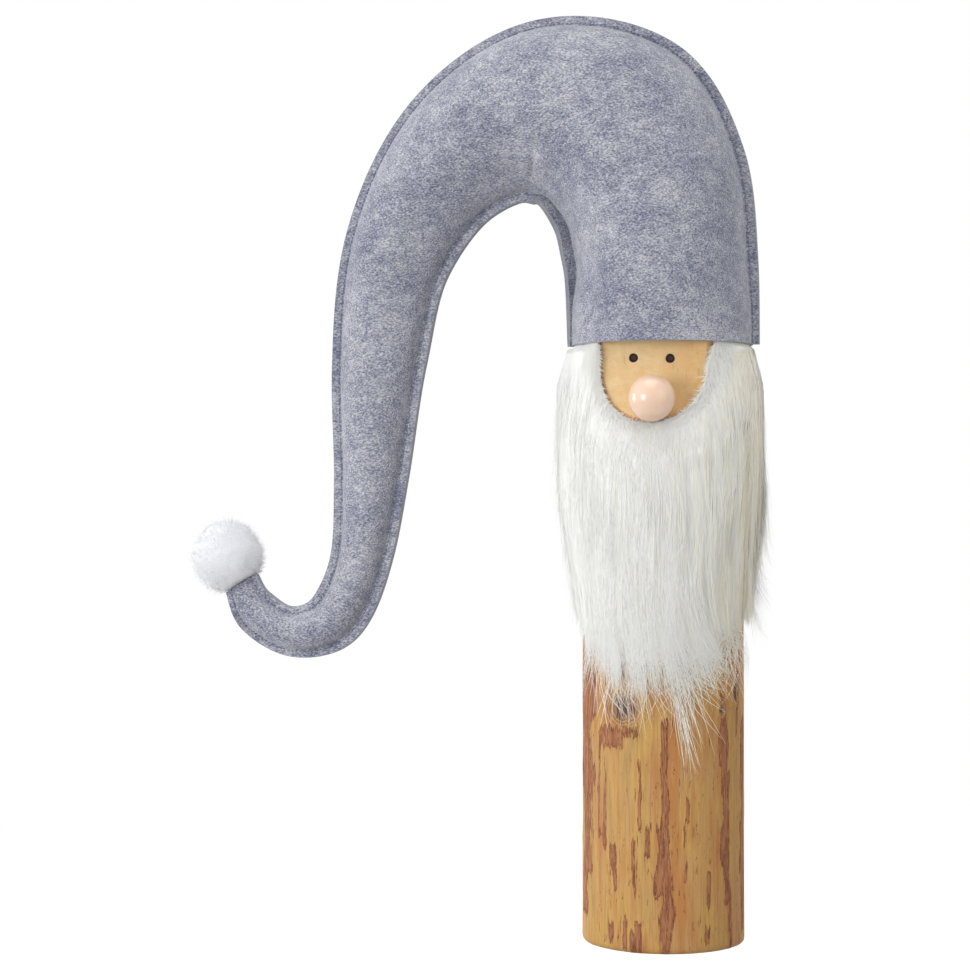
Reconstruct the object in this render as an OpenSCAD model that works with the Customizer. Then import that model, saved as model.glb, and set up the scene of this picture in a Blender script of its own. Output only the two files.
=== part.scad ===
// Gnome figurine: a peeled log for a body, a carved flat face with a ball nose,
// a long-pile fur beard and a tall stuffed felt hat of two seamed panels whose
// tail arches over to one side, hangs down and curls up to a yarn pompom.
// Origin: centre of the log's base. +Z up, the face looks to -Y, the hat lies in
// the XZ plane and its tail reaches to -X.

/* [Log] */
// Diameter of the peeled log
log_d = 90; // [70:1:110]
// Length of the log, base to the end hidden in the hat
log_h = 352; // [346:1:400]
// Chamfer round the base
base_chamfer = 1.5; // [0.5:0.5:4]
// Chamfer round the hidden top end
top_chamfer = 3; // [0.5:0.5:6]

/* [Face] */
// Depth of the flat face, from the log's front
face_depth = 11; // [6:0.5:16]
// Height where the flat face starts to run out
face_z = 316; // [300:1:330]
// Radius of the curved run-out under the face
runout_r = 50; // [30:1:80]
// Diameter of the ball nose
nose_d = 25; // [18:0.5:32]
// Height of the nose centre
nose_z = 297.5; // [288:0.5:304]
// Nose centre from the log's middle plane
nose_x = 2; // [-5:0.5:5]
// Diameter of the nose dowel
dowel_d = 6; // [4:0.5:8]
// How far the nose dowel goes into the log
dowel_in = 10; // [6:1:16]
// Diameter of an eye peg
eye_d = 5.6; // [4:0.1:8]
// Length of an eye peg
eye_l = 4; // [2:0.5:8]
// Height of the eyes
eye_z = 320; // [314:0.5:325]
// Distance between the eyes, centre to centre
eye_gap = 20; // [14:0.5:28]
// Middle of the eyes from the log's middle plane
eye_x = -0.8; // [-4:0.1:4]

/* [Beard] */
// Thickness of the knitted backing of the fur
backing_t = 1.5; // [1:0.1:3]
// Half the angle the backing wraps round the log, in degrees
backing_half_angle = 118; // [95:1:140]
// Height of the backing's lower edge
backing_low = 205; // [180:1:240]
// How far the backing runs up under the hat
backing_tuck = 15; // [8:1:25]
// Radius of the round cut-out for the face
face_cut_r = 30; // [24:0.5:36]
// Thickness of the pile at its fullest
pile_t = 11; // [6:0.5:16]
// Lowest point of the beard
beard_low = 140; // [110:1:180]
// Height of the beard's lower edge at the sides
beard_side_low = 168; // [140:1:200]

/* [Hat] */
// Height of the hat's brim
brim_z = 328.5; // [322:0.5:336]
// Rise of the hat above its brim
hat_rise = 185.5; // [140:1:225]
// Reach of the tail's end from the log's middle
tail_reach = 246; // [200:1:300]
// Thickness of the felt
felt_t = 2.5; // [1.5:0.1:4]
// Width of the flat seam allowance at the brim
seam_w = 6.2; // [4:0.1:9]
// How much wider the seam allowance is above the brim
seam_more = 1.6; // [0:0.2:2.4]
// How much the seam is taken in where the crown meets the arch
take_in = 3.6; // [0:0.2:5]
// Thickness of the sewing thread
thread_t = 0.6; // [0.4:0.1:1]
// Diameter of the pompom's wound yarn ball
pompom_d = 39; // [30:1:50]
// Thickness of the yarn that ties the pompom on
tie_d = 1.6; // [1:0.1:2.4]

/* [Hidden] */
$fn = 96;

log_r = log_d / 2;
// glue line under the backing, clearance of the felt and of the stuffing
glue_t = 0.1;
felt_clear = 0.5;
fill_clear = 0.4;
// inside and outside of the backing
backing_in = log_r + glue_t;
backing_out = backing_in + backing_t;
// height of the middle of the cut-out for the face
cut_z = face_z - 1.5;
// half width of the hat's opening at the brim, inside the felt
brim_r = backing_out + felt_clear;
// y of the flat face, of the run-out's axis and of the nose
face_y = -(log_r - face_depth);
axis_y = face_y - runout_r;
nose_y = axis_y + sqrt(pow(runout_r - nose_d / 2, 2) - pow(face_z - nose_z, 2));
// the dowel's two ends: just past the ball's centre, and inside the log
dowel_y0 = nose_y - 1.5;
dowel_y1 = axis_y + sqrt(pow(runout_r, 2) - pow(face_z - nose_z, 2)) + dowel_in;

// The hat's pattern. Each station: middle x, middle height above the brim, half
// width over the seam allowances, direction from the inner edge to the outer
// edge in degrees, depth of the stuffed half.
STATIONS = [
    [0, 0, 53.3, 0, 47.1],
    [-2, 47, 54.4, 2, 47.1],
    [-10.5, 91, 57.6, 19, 45],
    [-33, 124, 58.6, 47, 41],
    [-78, 132, 50.6, 87, 33],
    [-123, 105, 40.6, 123, 26],
    [-153, 53, 32.2, 157, 20],
    [-163.5, -9.5, 27.5, 180, 16],
    [-168, -73, 21.8, 183, 12.5],
    [-174.5, -121, 18.1, 178, 10.5],
    [-190.5, -154, 17.2, 137, 9],
    [-215.5, -161.5, 14.6, 95, 7.5],
    [-238, -149.5, 13.2, 54, 5.5],
    [-246, -134, 10.6, 31, 2.5]];
LAST = len(STATIONS) - 1;
kx = tail_reach / 246;
kz = hat_rise / 185.5;
kw = brim_r / 47.1;

function row(i) = STATIONS[max(0, min(LAST, i))];
function spline(a, b, c, d, t) = b + t * (c - a) / 2
    + t * t * (a - 2.5 * b + 2 * c - d / 2)
    + t * t * t * (1.5 * (b - c) + (d - a) / 2);
// pattern row at position s along the hat, 0 at the brim, LAST at the tip
function at(s) = let (i = min(LAST - 1, floor(s)))
    spline(row(i - 1), row(i), row(i + 1), row(i + 2), s - i);
function ramp(a, b, x) = let (t = max(0, min(1, (x - a) / (b - a)))) t * t * (3 - 2 * t);
// width of the seam allowance, and how much narrower the stuffed part is on its
// inner side
function seam_at(s) = seam_w + seam_more * ramp(0.35, 0.9, s) * (1 - ramp(9.5, 12, s));
function pinch(s) = take_in * ramp(0.45, 1, s) * (1 - ramp(1.6, 3.2, s));
// [middle, direction outwards, half width of the stuffing, its depth, width of the
// allowance, half width of the stuffing on the inner side]
function station(s) = let (r = at(s), w = max(3, r[2] * kw - seam_at(s)))
    [[r[0] * kx, 0, brim_z + r[1] * kz],
     [cos(r[3]), 0, sin(r[3])],
     w, r[4] * kw, seam_at(s), w - pinch(s)];
// point of the hat at position s, u across and v towards the front
function pt(st, u, v) = st[0] + u * st[1] - [0, v, 0];

function mean_of(ring) = [for (p = ring) 1 / len(ring)] * ring;

// closed skin over rings with the same number of points; the ends are fans
module loft(rings) {
    n = len(rings);
    m = len(rings[0]);
    points = concat([for (r = rings) each r],
        [mean_of(rings[0]), mean_of(rings[n - 1])]);
    sides = [for (i = [0:n - 2], k = [0:m - 1])
        let (a = i * m + k, b = i * m + (k + 1) % m)
        each [[a, b, b + m], [a, b + m, a + m]]];
    ends = [for (k = [0:m - 1])
        each [[n * m, (k + 1) % m, k],
              [n * m + 1, (n - 1) * m + k, (n - 1) * m + (k + 1) % m]]];
    polyhedron(points, concat(sides, ends), convexity = 8);
}

// closed skin over rings that run out along one face and back along the other
module shell(rings) {
    n = len(rings);
    m = len(rings[0]);
    sides = [for (i = [0:n - 2], k = [0:m - 1])
        let (a = i * m + k, b = i * m + (k + 1) % m)
        each [[a, b, b + m], [a, b + m, a + m]]];
    ends = [for (k = [0:m / 2 - 2])
        let (a = k, b = k + 1, c = m - 2 - k, d = m - 1 - k, e = (n - 1) * m)
        each [[c, b, a], [d, c, a], [e + a, e + b, e + c], [e + a, e + c, e + d]]];
    polyhedron([for (r = rings) each r], concat(sides, ends), convexity = 12);
}

module log() {
    color([0.78, 0.60, 0.38]) difference() {
        union() {
            cylinder(r1 = log_r - base_chamfer, r2 = log_r, h = base_chamfer);
            translate([0, 0, base_chamfer])
                cylinder(r = log_r, h = log_h - base_chamfer - top_chamfer);
            translate([0, 0, log_h - top_chamfer])
                cylinder(r1 = log_r, r2 = log_r - top_chamfer, h = top_chamfer);
        }
        translate([-log_d, face_y - log_d, face_z])
            cube([2 * log_d, log_d, log_h]);
        translate([0, axis_y, face_z]) rotate([0, 90, 0])
            cylinder(r = runout_r, h = 2 * log_d, center = true);
        translate([nose_x, dowel_y1 + 0.5, nose_z]) rotate([90, 0, 0])
            cylinder(d = dowel_d, h = dowel_y1 - nose_y);
        for (side = [-1, 1])
            translate([eye_x + side * eye_gap / 2, face_y + eye_l - 0.4, eye_z])
                rotate([90, 0, 0]) cylinder(d = eye_d, h = 2 * eye_l);
    }
}

module nose_ball() {
    color([0.92, 0.77, 0.65]) difference() {
        translate([nose_x, nose_y, nose_z]) sphere(d = nose_d);
        translate([nose_x, nose_y + nose_d, nose_z]) rotate([90, 0, 0])
            cylinder(d = dowel_d, h = nose_y + nose_d - dowel_y0 + 0.5);
    }
}

module nose_dowel() {
    color([0.80, 0.66, 0.46])
        translate([nose_x, dowel_y1, nose_z]) rotate([90, 0, 0])
            cylinder(d = dowel_d, h = dowel_y1 - dowel_y0);
}

// peg with a shallow dimple, pressed into its hole and 0.4 proud of the face
module eye_peg(side) {
    color([0.10, 0.06, 0.05]) difference() {
        translate([eye_x + side * eye_gap / 2, face_y + eye_l - 0.4, eye_z])
            rotate([90, 0, 0]) cylinder(d = eye_d, h = eye_l);
        translate([eye_x + side * eye_gap / 2, face_y - 0.1, eye_z])
            rotate([90, 0, 0]) cylinder(d = eye_d * 0.5, h = 1);
    }
}

module eye_left() {
    eye_peg(1);
}

module eye_right() {
    eye_peg(-1);
}

// knitted backing of the fur: a sleeve open at the back, cut round the face
module beard_backing() {
    top = brim_z + backing_tuck;
    open_w = 4 * log_r;
    color([0.93, 0.92, 0.89]) difference() {
        translate([0, 0, backing_low])
            cylinder(r = backing_out, h = top - backing_low);
        translate([0, 0, backing_low - 1])
            cylinder(r = backing_in, h = top - backing_low + 2);
        translate([0, 0, backing_low - 1])
            linear_extrude(top - backing_low + 2)
                polygon([[0, 0],
                    open_w * [sin(backing_half_angle), -cos(backing_half_angle)],
                    open_w * [-sin(backing_half_angle), -cos(backing_half_angle)]]);
        translate([0, 0, cut_z]) rotate([90, 0, 0])
            cylinder(r = face_cut_r, h = open_w);
        translate([-face_cut_r, -open_w, cut_z])
            cube([2 * face_cut_r, open_w, top]);
    }
}

// upper and lower edge of the pile at an angle from the front
function pile_top(a) = let (x = abs(backing_out * sin(a)))
    x > face_cut_r + 1 || abs(a) > 90 ? brim_z - 0.3
    : cut_z - sqrt(max(0, pow(face_cut_r + 1, 2) - x * x));
function pile_low(a) = beard_low + (beard_side_low - beard_low)
    * min(1, pow(abs(a + 18) / 75, 1.6));
// thickness of the pile, t from 0 at its top to 1 at its ends
function pile_depth(t) = 3 + (pile_t - 3) * min(1, sin(min(90, 500 * t)))
    * (1 - 0.75 * pow(t, 4));

module beard_pile() {
    half = backing_half_angle;
    cols = 48;
    rows = 14;
    r_in = backing_out / cos(half / cols);
    color([0.93, 0.93, 0.91]) shell([for (i = [0:cols])
        let (a = half - 2 * half * i / cols, top = pile_top(a), low = pile_low(a),
            soft = 0.25 + 0.75 * sin(90 * min(1, (half - abs(a)) / 14)))
        concat(
            [for (k = [0:rows])
                [r_in * sin(a), -r_in * cos(a), top + (low - top) * k / rows]],
            [for (k = [rows:-1:0])
                let (r = r_in + pile_depth(k / rows) * soft)
                [r * sin(a), -r * cos(a), top + (low - top) * k / rows]])]);
}

// one felt panel: a half shell with a flat seam allowance along both edges
module felt_panel(side) {
    steps = 4;
    arc = 16;
    rings = [for (j = [0:LAST * steps])
        let (st = station(j / steps), w = st[2], d = st[3], edge = w + st[4],
            w_in = st[5], a0 = asin(felt_t / (d + felt_t)))
        concat(
            [pt(st, edge, 0)],
            [for (k = [0:arc]) let (a = 180 * k / arc)
                pt(st, (a < 90 ? w : w_in) * cos(a), d * sin(a))],
            [pt(st, -edge, 0), pt(st, -edge, felt_t)],
            [for (k = [arc:-1:0]) let (a = a0 + (180 - 2 * a0) * k / arc)
                pt(st, ((a < 90 ? w : w_in) + felt_t) * cos(a), (d + felt_t) * sin(a))],
            [pt(st, edge, felt_t)])];
    color([0.58, 0.59, 0.65])
        mirror([0, side, 0]) shell(rings);
}

module hat_front_panel() {
    felt_panel(0);
}

module hat_back_panel() {
    felt_panel(1);
}

// two strands of one lockstitched seam, lying on the front and back allowance
// close to the stuffed part
module seam_thread(side) {
    steps = 5;
    for (face = [0, 1]) mirror([0, face, 0])
        loft([for (j = [0.5:LAST * steps - 0.5])
            let (st = station(j / steps),
                u = side * ((side > 0 ? st[2] : st[5]) + felt_t + 1.5 * thread_t))
            [for (c = [[-1, 0], [1, 0], [1, 1], [-1, 1]])
                pt(st, u + c[0] * thread_t / 2, felt_t + c[1] * thread_t)]]);
}

module outer_seam_thread() {
    color([0.30, 0.33, 0.45]) seam_thread(1);
}

module inner_seam_thread() {
    color([0.30, 0.33, 0.45]) seam_thread(-1);
}

// stuffing between two positions along the hat, with rounded ends
module fill(s0, s1, steps, dome0, dome1) {
    n = 24;
    color([0.96, 0.96, 0.95]) loft([for (j = [0:steps])
        let (t = j / steps, s = s0 + (s1 - s0) * t, st = station(s),
            e0 = dome0 > 0 ? min(1, t / dome0) : 1,
            e1 = dome1 > 0 ? min(1, (1 - t) / dome1) : 1,
            k = max(0.12, sqrt(1 - pow(1 - e0, 2)) * sqrt(1 - pow(1 - e1, 2))))
        [for (q = [0:n - 1])
            let (a = 360 * q / n, w = cos(a) < 0 ? st[5] : st[2])
            pt(st, (w - fill_clear - 0.6) * (0.3 + 0.7 * k) * cos(a),
               (st[3] - fill_clear) * k * sin(a))]]);
}

module crown_fill() {
    intersection() {
        fill(0.4, 4.42, 26, 0, 0.22);
        translate([-300, -100, log_h]) cube([600, 200, 400]);
    }
}

module tail_fill() {
    fill(4.58, 8.9, 30, 0.14, 0.08);
}

module tip_fill() {
    fill(9.1, 12.5, 24, 0.1, 0.08);
}

// the pompom sits on the end of the tip, in line with it
TIP = station(LAST);
tip_dir = [-TIP[1][2], 0, TIP[1][0]];
knot_in = 3;
pompom_off = pompom_d / 2 + 2;

module pompom() {
    c = TIP[0] + tip_dir * pompom_off;
    color([0.96, 0.96, 0.98]) difference() {
        translate(c) sphere(d = pompom_d);
        tie_bore(tie_d);
    }
}

module tie_bore(d) {
    translate(TIP[0] - tip_dir * knot_in)
        rotate([0, atan2(tip_dir[0], tip_dir[2]), 0])
            cylinder(d = d, h = knot_in + pompom_off, $fn = 48);
}

module pompom_tie() {
    color([0.94, 0.94, 0.95]) union() {
        translate(TIP[0] - tip_dir * knot_in) sphere(d = 2 * TIP[3] - 0.6, $fn = 48);
        tie_bore(tie_d);
    }
}

log();
nose_ball();
nose_dowel();
eye_left();
eye_right();
beard_backing();
beard_pile();
hat_front_panel();
hat_back_panel();
outer_seam_thread();
inner_seam_thread();
crown_fill();
tail_fill();
tip_fill();
pompom();
pompom_tie();
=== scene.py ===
import math
import bpy
import numpy as np
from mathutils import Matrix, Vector


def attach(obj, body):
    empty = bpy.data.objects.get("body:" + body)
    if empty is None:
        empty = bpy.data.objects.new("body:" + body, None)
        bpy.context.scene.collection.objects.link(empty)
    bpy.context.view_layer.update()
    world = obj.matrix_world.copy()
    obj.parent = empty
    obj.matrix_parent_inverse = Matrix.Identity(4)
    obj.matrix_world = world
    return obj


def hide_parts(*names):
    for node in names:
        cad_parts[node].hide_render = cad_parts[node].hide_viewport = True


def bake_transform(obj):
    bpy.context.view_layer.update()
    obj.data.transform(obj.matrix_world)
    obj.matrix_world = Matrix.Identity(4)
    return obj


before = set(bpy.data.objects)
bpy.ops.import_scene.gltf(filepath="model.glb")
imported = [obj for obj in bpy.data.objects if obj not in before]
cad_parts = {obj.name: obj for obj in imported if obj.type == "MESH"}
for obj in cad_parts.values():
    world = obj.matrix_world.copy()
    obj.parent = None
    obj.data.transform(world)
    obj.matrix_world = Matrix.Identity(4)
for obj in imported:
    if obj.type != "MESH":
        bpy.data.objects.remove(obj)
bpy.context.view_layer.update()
MM = 0.001
# farther than anything on the figure, in mm
FAR = 1e3

# ---------------------------------------------------------------- sizes, in mm
LOG_R, LOG_H = 45.0, 352.0
FACE_Y, FACE_Z, RUNOUT_R = -34.0, 316.0, 50.0
NOSE, NOSE_R, DOWEL_R = (2.0, -51.17, 297.5), 12.5, 3.2
EYES = {"eye_right": (-10.8, 320), "eye_left": (9.2, 319.5)}
# the fur's backing: its radii, half angle, lower and upper edge, and one degree along it
BACK_IN, BACK_OUT = 45.1, 46.6
BACK_HALF, BACK_LOW, BACK_TOP = 118.0, 205.0, 343.5
DEGREE = BACK_OUT * math.pi / 180
# the opening for the face: radius, height of its centre, how far it flares at the right
CUT_R, CUT_Z, FLARE = 30.0, 314.5, 5.0
BRIM_Z, FELT = 328.5, 2.5
# seam allowance at the brim, how much wider it is above, and the take-in by the arch
SEAM, SEAM_MORE, TAKE_IN = 6.2, 1.6, 3.6
# from the felt's tip to the pompom's middle, to where the yarn swings freely, to the knot
POM_SEAT, POM_FREE, KNOT_IN = 17.8, 24.0, 3.0
# middle x, middle height over the brim, half width, direction across, depth
STATIONS = np.array([
    [0, 0, 53.3, 0, 47.1],
    [-2, 47, 54.4, 2, 47.1],
    [-10.5, 91, 57.6, 19, 45],
    [-33, 124, 58.6, 47, 41],
    [-78, 132, 50.6, 87, 33],
    [-123, 105, 40.6, 123, 26],
    [-153, 53, 32.2, 157, 20],
    [-163.5, -9.5, 27.5, 180, 16],
    [-168, -73, 21.8, 183, 12.5],
    [-174.5, -121, 18.1, 178, 10.5],
    [-190.5, -154, 17.2, 137, 9],
    [-215.5, -161.5, 14.6, 95, 7.5],
    [-238, -149.5, 13.2, 54, 5.5],
    [-246, -134, 10.6, 31, 2.5]])
LAST = len(STATIONS) - 1
# where the felt is cut into an upper and a lower piece
SPLIT = 6.75


def station(s):
    """Middle, direction across, half width, depth, allowance and inner half width."""
    s = np.asarray(s, float)
    i = np.clip(np.floor(s), 0, LAST - 1).astype(int)
    t = (s - i)[..., None]
    a, b, c, d = (STATIONS[np.clip(i + k, 0, LAST)] for k in (-1, 0, 1, 2))
    r = (b + t * (c - a) / 2 + t * t * (a - 2.5 * b + 2 * c - d / 2)
         + t ** 3 * (1.5 * (b - c) + (d - a) / 2))
    ang = np.radians(r[..., 3])
    mid = np.stack([r[..., 0], 0 * ang, BRIM_Z + r[..., 1]], -1)
    across = np.stack([np.cos(ang), 0 * ang, np.sin(ang)], -1)
    seam = SEAM + SEAM_MORE * smooth(0.35, 0.9, s) * (1 - smooth(9.5, 12, s))
    w = np.maximum(3, r[..., 2] - seam)
    pinch = TAKE_IN * smooth(0.45, 1, s) * (1 - smooth(1.6, 3.2, s))
    return mid, across, w, r[..., 4], seam, w - pinch


# ------------------------------------------------------- small noise and draws
def hash01(*v):
    """Repeatable numbers from 0 to 1 for whole-number grids."""
    h = np.zeros(np.broadcast(*v).shape, np.uint64)
    for k, a in zip((73856093, 19349663, 83492791, 2654435761), v):
        h = (h ^ ((np.asarray(a).astype(np.int64) & 0xFFFFF).astype(np.uint64)
                  * np.uint64(k))) & np.uint64(0xFFFFFFFF)
        h = (h * np.uint64(1664525) + np.uint64(1013904223)) & np.uint64(0xFFFFFFFF)
        h ^= h >> np.uint64(15)
    return (h & np.uint64(0xFFFFFF)).astype(float) / 0xFFFFFF


def noise(x, y, z=0.0, seed=0):
    """Smooth value noise from -1 to 1, one cell per unit."""
    x, y, z = np.broadcast_arrays(np.asarray(x, float), y, z)
    f = [np.floor(a) for a in (x, y, z)]
    w = [a - b for a, b in zip((x, y, z), f)]
    w = [a * a * (3 - 2 * a) for a in w]
    total = 0
    for corner in np.ndindex(2, 2, 2):
        g = hash01(*(a + b for a, b in zip(f, corner)), np.int64(seed))
        total = total + g * math.prod(a if b else 1 - a for a, b in zip(w, corner))
    return total * 2 - 1


def noise_at(points, seed):
    return noise(points[..., 0], points[..., 1], points[..., 2], seed)


def smooth(a, b, x):
    t = np.clip((x - a) / (b - a), 0, 1)
    return t * t * (3 - 2 * t)


def unit(v):
    return v / (np.linalg.norm(v, axis=-1, keepdims=True) + 1e-9)


def around(p, r, z):
    """Points at an angle in degrees from the front, a radius and a height."""
    a = np.radians(p)
    return np.stack(np.broadcast_arrays(r * np.sin(a), -r * np.cos(a), z), -1)


def ball(down, turn):
    """Directions over a ball about z: angles down from its top, and a count round it."""
    uu, vv = np.meshgrid(2 * math.pi * np.arange(turn) / turn, down)
    return np.stack([np.sin(vv) * np.cos(uu), np.sin(vv) * np.sin(uu), np.cos(vv)], -1)


class Draws:
    """Random columns, a number for each of n hairs, from a seed or another's generator."""

    def __init__(self, seed, n=0):
        self.rng, self.n = np.random.default_rng(seed), n

    def flat(self, low=0, high=1):
        return self.rng.uniform(low, high, (self.n, 1))

    def bell(self, spread, middle=0):
        return self.rng.normal(middle, spread, (self.n, 1))

    def tail(self, scale):
        return self.rng.exponential(scale, (self.n, 1))

    def sign(self):
        return self.rng.choice([-1, 1], (self.n, 1))


# ------------------------------------------------------------------ mesh tools
def new_mesh(name, verts_mm, faces, material, sharp=0, rest=True, slots=None):
    """Object from points in mm and a list of equal-sided face arrays."""
    verts = np.asarray(verts_mm, np.float32).reshape(-1, 3)
    groups = [np.asarray(f, np.int32) for f in faces]
    loops = np.concatenate([g.ravel() for g in groups])
    sizes = np.concatenate([np.full(len(g), g.shape[1], np.int32) for g in groups])
    mesh = bpy.data.meshes.new(name)
    mesh.vertices.add(len(verts))
    mesh.vertices.foreach_set("co", (verts * MM).ravel())
    mesh.loops.add(len(loops))
    mesh.loops.foreach_set("vertex_index", loops)
    mesh.polygons.add(len(sizes))
    starts = np.concatenate([[0], np.cumsum(sizes)[:-1]]).astype(np.int32)
    mesh.polygons.foreach_set("loop_start", starts)
    mesh.polygons.foreach_set("loop_total", sizes)
    for m in material if isinstance(material, list) else [material]:
        mesh.materials.append(m)
    if slots is not None:
        mesh.polygons.foreach_set("material_index", np.asarray(slots, np.int32))
    mesh.update(calc_edges=True)
    mesh.validate()
    mesh.shade_smooth()
    if sharp:
        mesh.set_sharp_from_angle(angle=math.radians(sharp))
    if rest:
        attribute(mesh, "rest", verts, "FLOAT_VECTOR", "vector")
    obj = bpy.data.objects.new(name, mesh)
    bpy.context.scene.collection.objects.link(obj)
    return obj


def attribute(mesh, name, values, kind="FLOAT", field="value"):
    a = mesh.attributes.new(name, kind, "POINT")
    a.data.foreach_set(field, np.asarray(values, np.float32).ravel())


def set_normals(obj, normals):
    obj.data.normals_split_custom_set_from_vertices(normals.reshape(-1, 3).tolist())


def stands_for(obj, node, body="trunk"):
    """The piece takes a CAD node's place, and rides on a body when one is given."""
    if body:
        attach(obj, body)
    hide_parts(node)


def grid_faces(rows, cols, wrap=False, first=0, flip=False):
    """Quads over rows x cols points."""
    i = np.arange(rows - 1)[:, None]
    j = np.arange(cols if wrap else cols - 1)[None]
    a = i * cols + j
    b = i * cols + (j + 1) % cols
    q = np.stack([a, b, b + cols, a + cols], -1).reshape(-1, 4) + first
    return q[:, ::-1] if flip else q


def closed_faces(rows, cols, flip=False):
    """Quads round a grid that closes on itself, and a face over each end."""
    ring = np.arange(cols)[None]
    ends = [ring[:, ::-1], ring + (rows - 1) * cols]
    return [grid_faces(rows, cols, True, flip=flip)] + [e[:, ::-1] if flip else e for e in ends]


def shell(p, outer, inner, z):
    """Curved sheet round the log between two radii: layers, faces, border points."""
    rows, cols = z.shape
    n = rows * cols
    idx = np.arange(n).reshape(rows, cols)
    border = np.concatenate([idx[0], idx[1:, -1], idx[-1, ::-1][1:], idx[::-1, 0][1:-1]])
    ahead = np.roll(border, -1)
    wall = np.stack([border + n, ahead + n, ahead, border], -1)
    faces = [grid_faces(rows, cols), grid_faces(rows, cols, first=n, flip=True), wall]
    return [around(p, r, z) for r in (outer, inner)], faces, border


def tubes(paths, radii, sides, seed, outward=None):
    """Thin tubes along many paths at once: paths [n, k, 3], radii [n, k].

    With outward, [n, k, 3], each is flattened and lies with its broad side that way.
    """
    n, k, _ = paths.shape
    along = unit(np.gradient(paths, axis=1))
    turn = hash01(np.arange(n), np.int64(seed), np.int64(9))
    if outward is None:
        flat, turn = 1.0, turn * 2 * math.pi
        ref = np.stack([np.cos(turn), np.sin(turn), 0.3 + 0 * turn], -1)[:, None]
        side = np.cross(along, ref)
    else:
        flat = 0.45
        side = np.cross(outward, along) + outward * ((turn - 0.5) * 0.2)[:, None, None]
    side = unit(side)
    other = np.cross(along, side)
    rings, spokes = [], []
    for q in range(sides):
        a = 2 * math.pi * (q + 0.25 * (sides == 3)) / sides
        rings.append(paths + radii[..., None] * (math.cos(a) * side
                                                 + math.sin(a) * other * flat))
        spokes.append(math.cos(a) * side + math.sin(a) * other)
    verts, spokes = (np.stack(v, 2).reshape(-1, 3) for v in (rings, spokes))
    base = (np.arange(n) * k * sides)[:, None]
    low = base[..., None] + (np.arange(k - 1) * sides)[:, None]
    q = np.arange(sides)
    q2 = (q + 1) % sides
    quads = np.stack([low + q, low + q2, low + sides + q2, low + sides + q], -1)
    return verts, [quads.reshape(-1, 4), base + q[::-1], base + (k - 1) * sides + q], spokes


# ------------------------------------------------------------------- materials
def linear(rgb):
    """Colour given on the 0 to 255 screen scale."""
    c = np.array(rgb, float) / 255
    c = np.where(c <= 0.04045, c / 12.92, ((c + 0.055) / 1.055) ** 2.4)
    return (*map(float, c), 1.0)


class Nodes:
    """Short names for building a node tree."""

    def __init__(self, name, tree=None, **sockets):
        if tree is None:
            self.material = bpy.data.materials.new(name)
            self.material.use_nodes = True
            tree = self.material.node_tree
            self.bsdf = tree.nodes["Principled BSDF"]
        self.tree = tree
        if sockets:
            self.set(self.bsdf, sockets)

    def set(self, node, sockets):
        for key, value in sockets.items():
            if isinstance(key, str) and key not in node.inputs:
                key = key.replace("_", " ")
            if isinstance(value, bpy.types.NodeSocket):
                self.tree.links.new(value, node.inputs[key])
            else:
                node.inputs[key].default_value = value
        return node

    def node(self, kind, sockets=None, **settings):
        n = self.tree.nodes.new("ShaderNode" + kind)
        for key, value in settings.items():
            setattr(n, key, value)
        return self.set(n, sockets or {})

    def place(self, stretch=(1, 1, 1), turn=(0, 0, 0)):
        at = self.node("Attribute", attribute_name="rest")
        m = self.node("Mapping", {"Vector": at.outputs["Vector"], "Scale": stretch,
                                  "Rotation": tuple(map(math.radians, turn))})
        return m.outputs["Vector"]

    def noise(self, scale, detail=2.0, rough=0.5, warp=0.0, stretch=(1, 1, 1),
              turn=(0, 0, 0)):
        n = self.node("TexNoise", {"Vector": self.place(stretch, turn), "Scale": scale,
                                   "Detail": detail, "Roughness": rough, "Distortion": warp})
        return n.outputs["Fac"]

    def value(self, attribute):
        return self.node("Attribute", attribute_name=attribute).outputs["Fac"]

    def math(self, op, a, b=0.0):
        return self.node("Math", {0: a, 1: b}, operation=op).outputs[0]

    def add(self, a, b):
        return self.math("ADD", a, b)

    def times(self, a, b):
        return self.math("MULTIPLY", a, b)

    def span(self, x, low, high, out0=0.0, out1=1.0):
        n = self.node("MapRange", {"Value": x, "From Min": low, "From Max": high,
                                   "To Min": out0, "To Max": out1})
        return n.outputs["Result"]

    def mix(self, fac, a, b, blend="MIX"):
        """Three numbers are a screen colour, four a linear one."""
        a, b = (linear(v) if isinstance(v, tuple) and len(v) == 3 else v for v in (a, b))
        return self.node("Mix", {0: fac, 6: a, 7: b}, data_type="RGBA",
                         blend_type=blend).outputs[2]

    def over(self, colour, rgb, x, low, high, out0=0.0, out1=1.0):
        return self.mix(self.span(x, low, high, out0, out1), colour, rgb)

    def coats(self, colour, *coats):
        """Colours laid over each other, each by the span of a value."""
        for coat in coats:
            colour = self.over(colour, *coat)
        return colour

    def stir(self, x, by, low, high, much):
        """A value made uneven by a noise, by so much each way."""
        return self.add(x, self.span(by, low, high, -much, much))

    def seen(self):
        """1 for rays from the camera, or by way of a glossy or clear surface."""
        ray = self.node("LightPath").outputs
        return self.math("MAXIMUM", ray["Is Camera Ray"], self.math(
            "MAXIMUM", ray["Is Glossy Ray"], ray["Is Transmission Ray"]))

    def finish(self, colour, height=None, distance=0, strength=1.0):
        self.set(self.bsdf, {"Base Color": colour})
        if height is not None:
            n = self.node("Bump", {"Height": height, "Distance": distance,
                                   "Strength": strength})
            self.set(self.bsdf, {"Normal": n.outputs["Normal"]})
        return self.material


def plain(name, rgb, rough, **more):
    return Nodes(name, Base_Color=linear(rgb), Roughness=rough, **more).material


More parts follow.
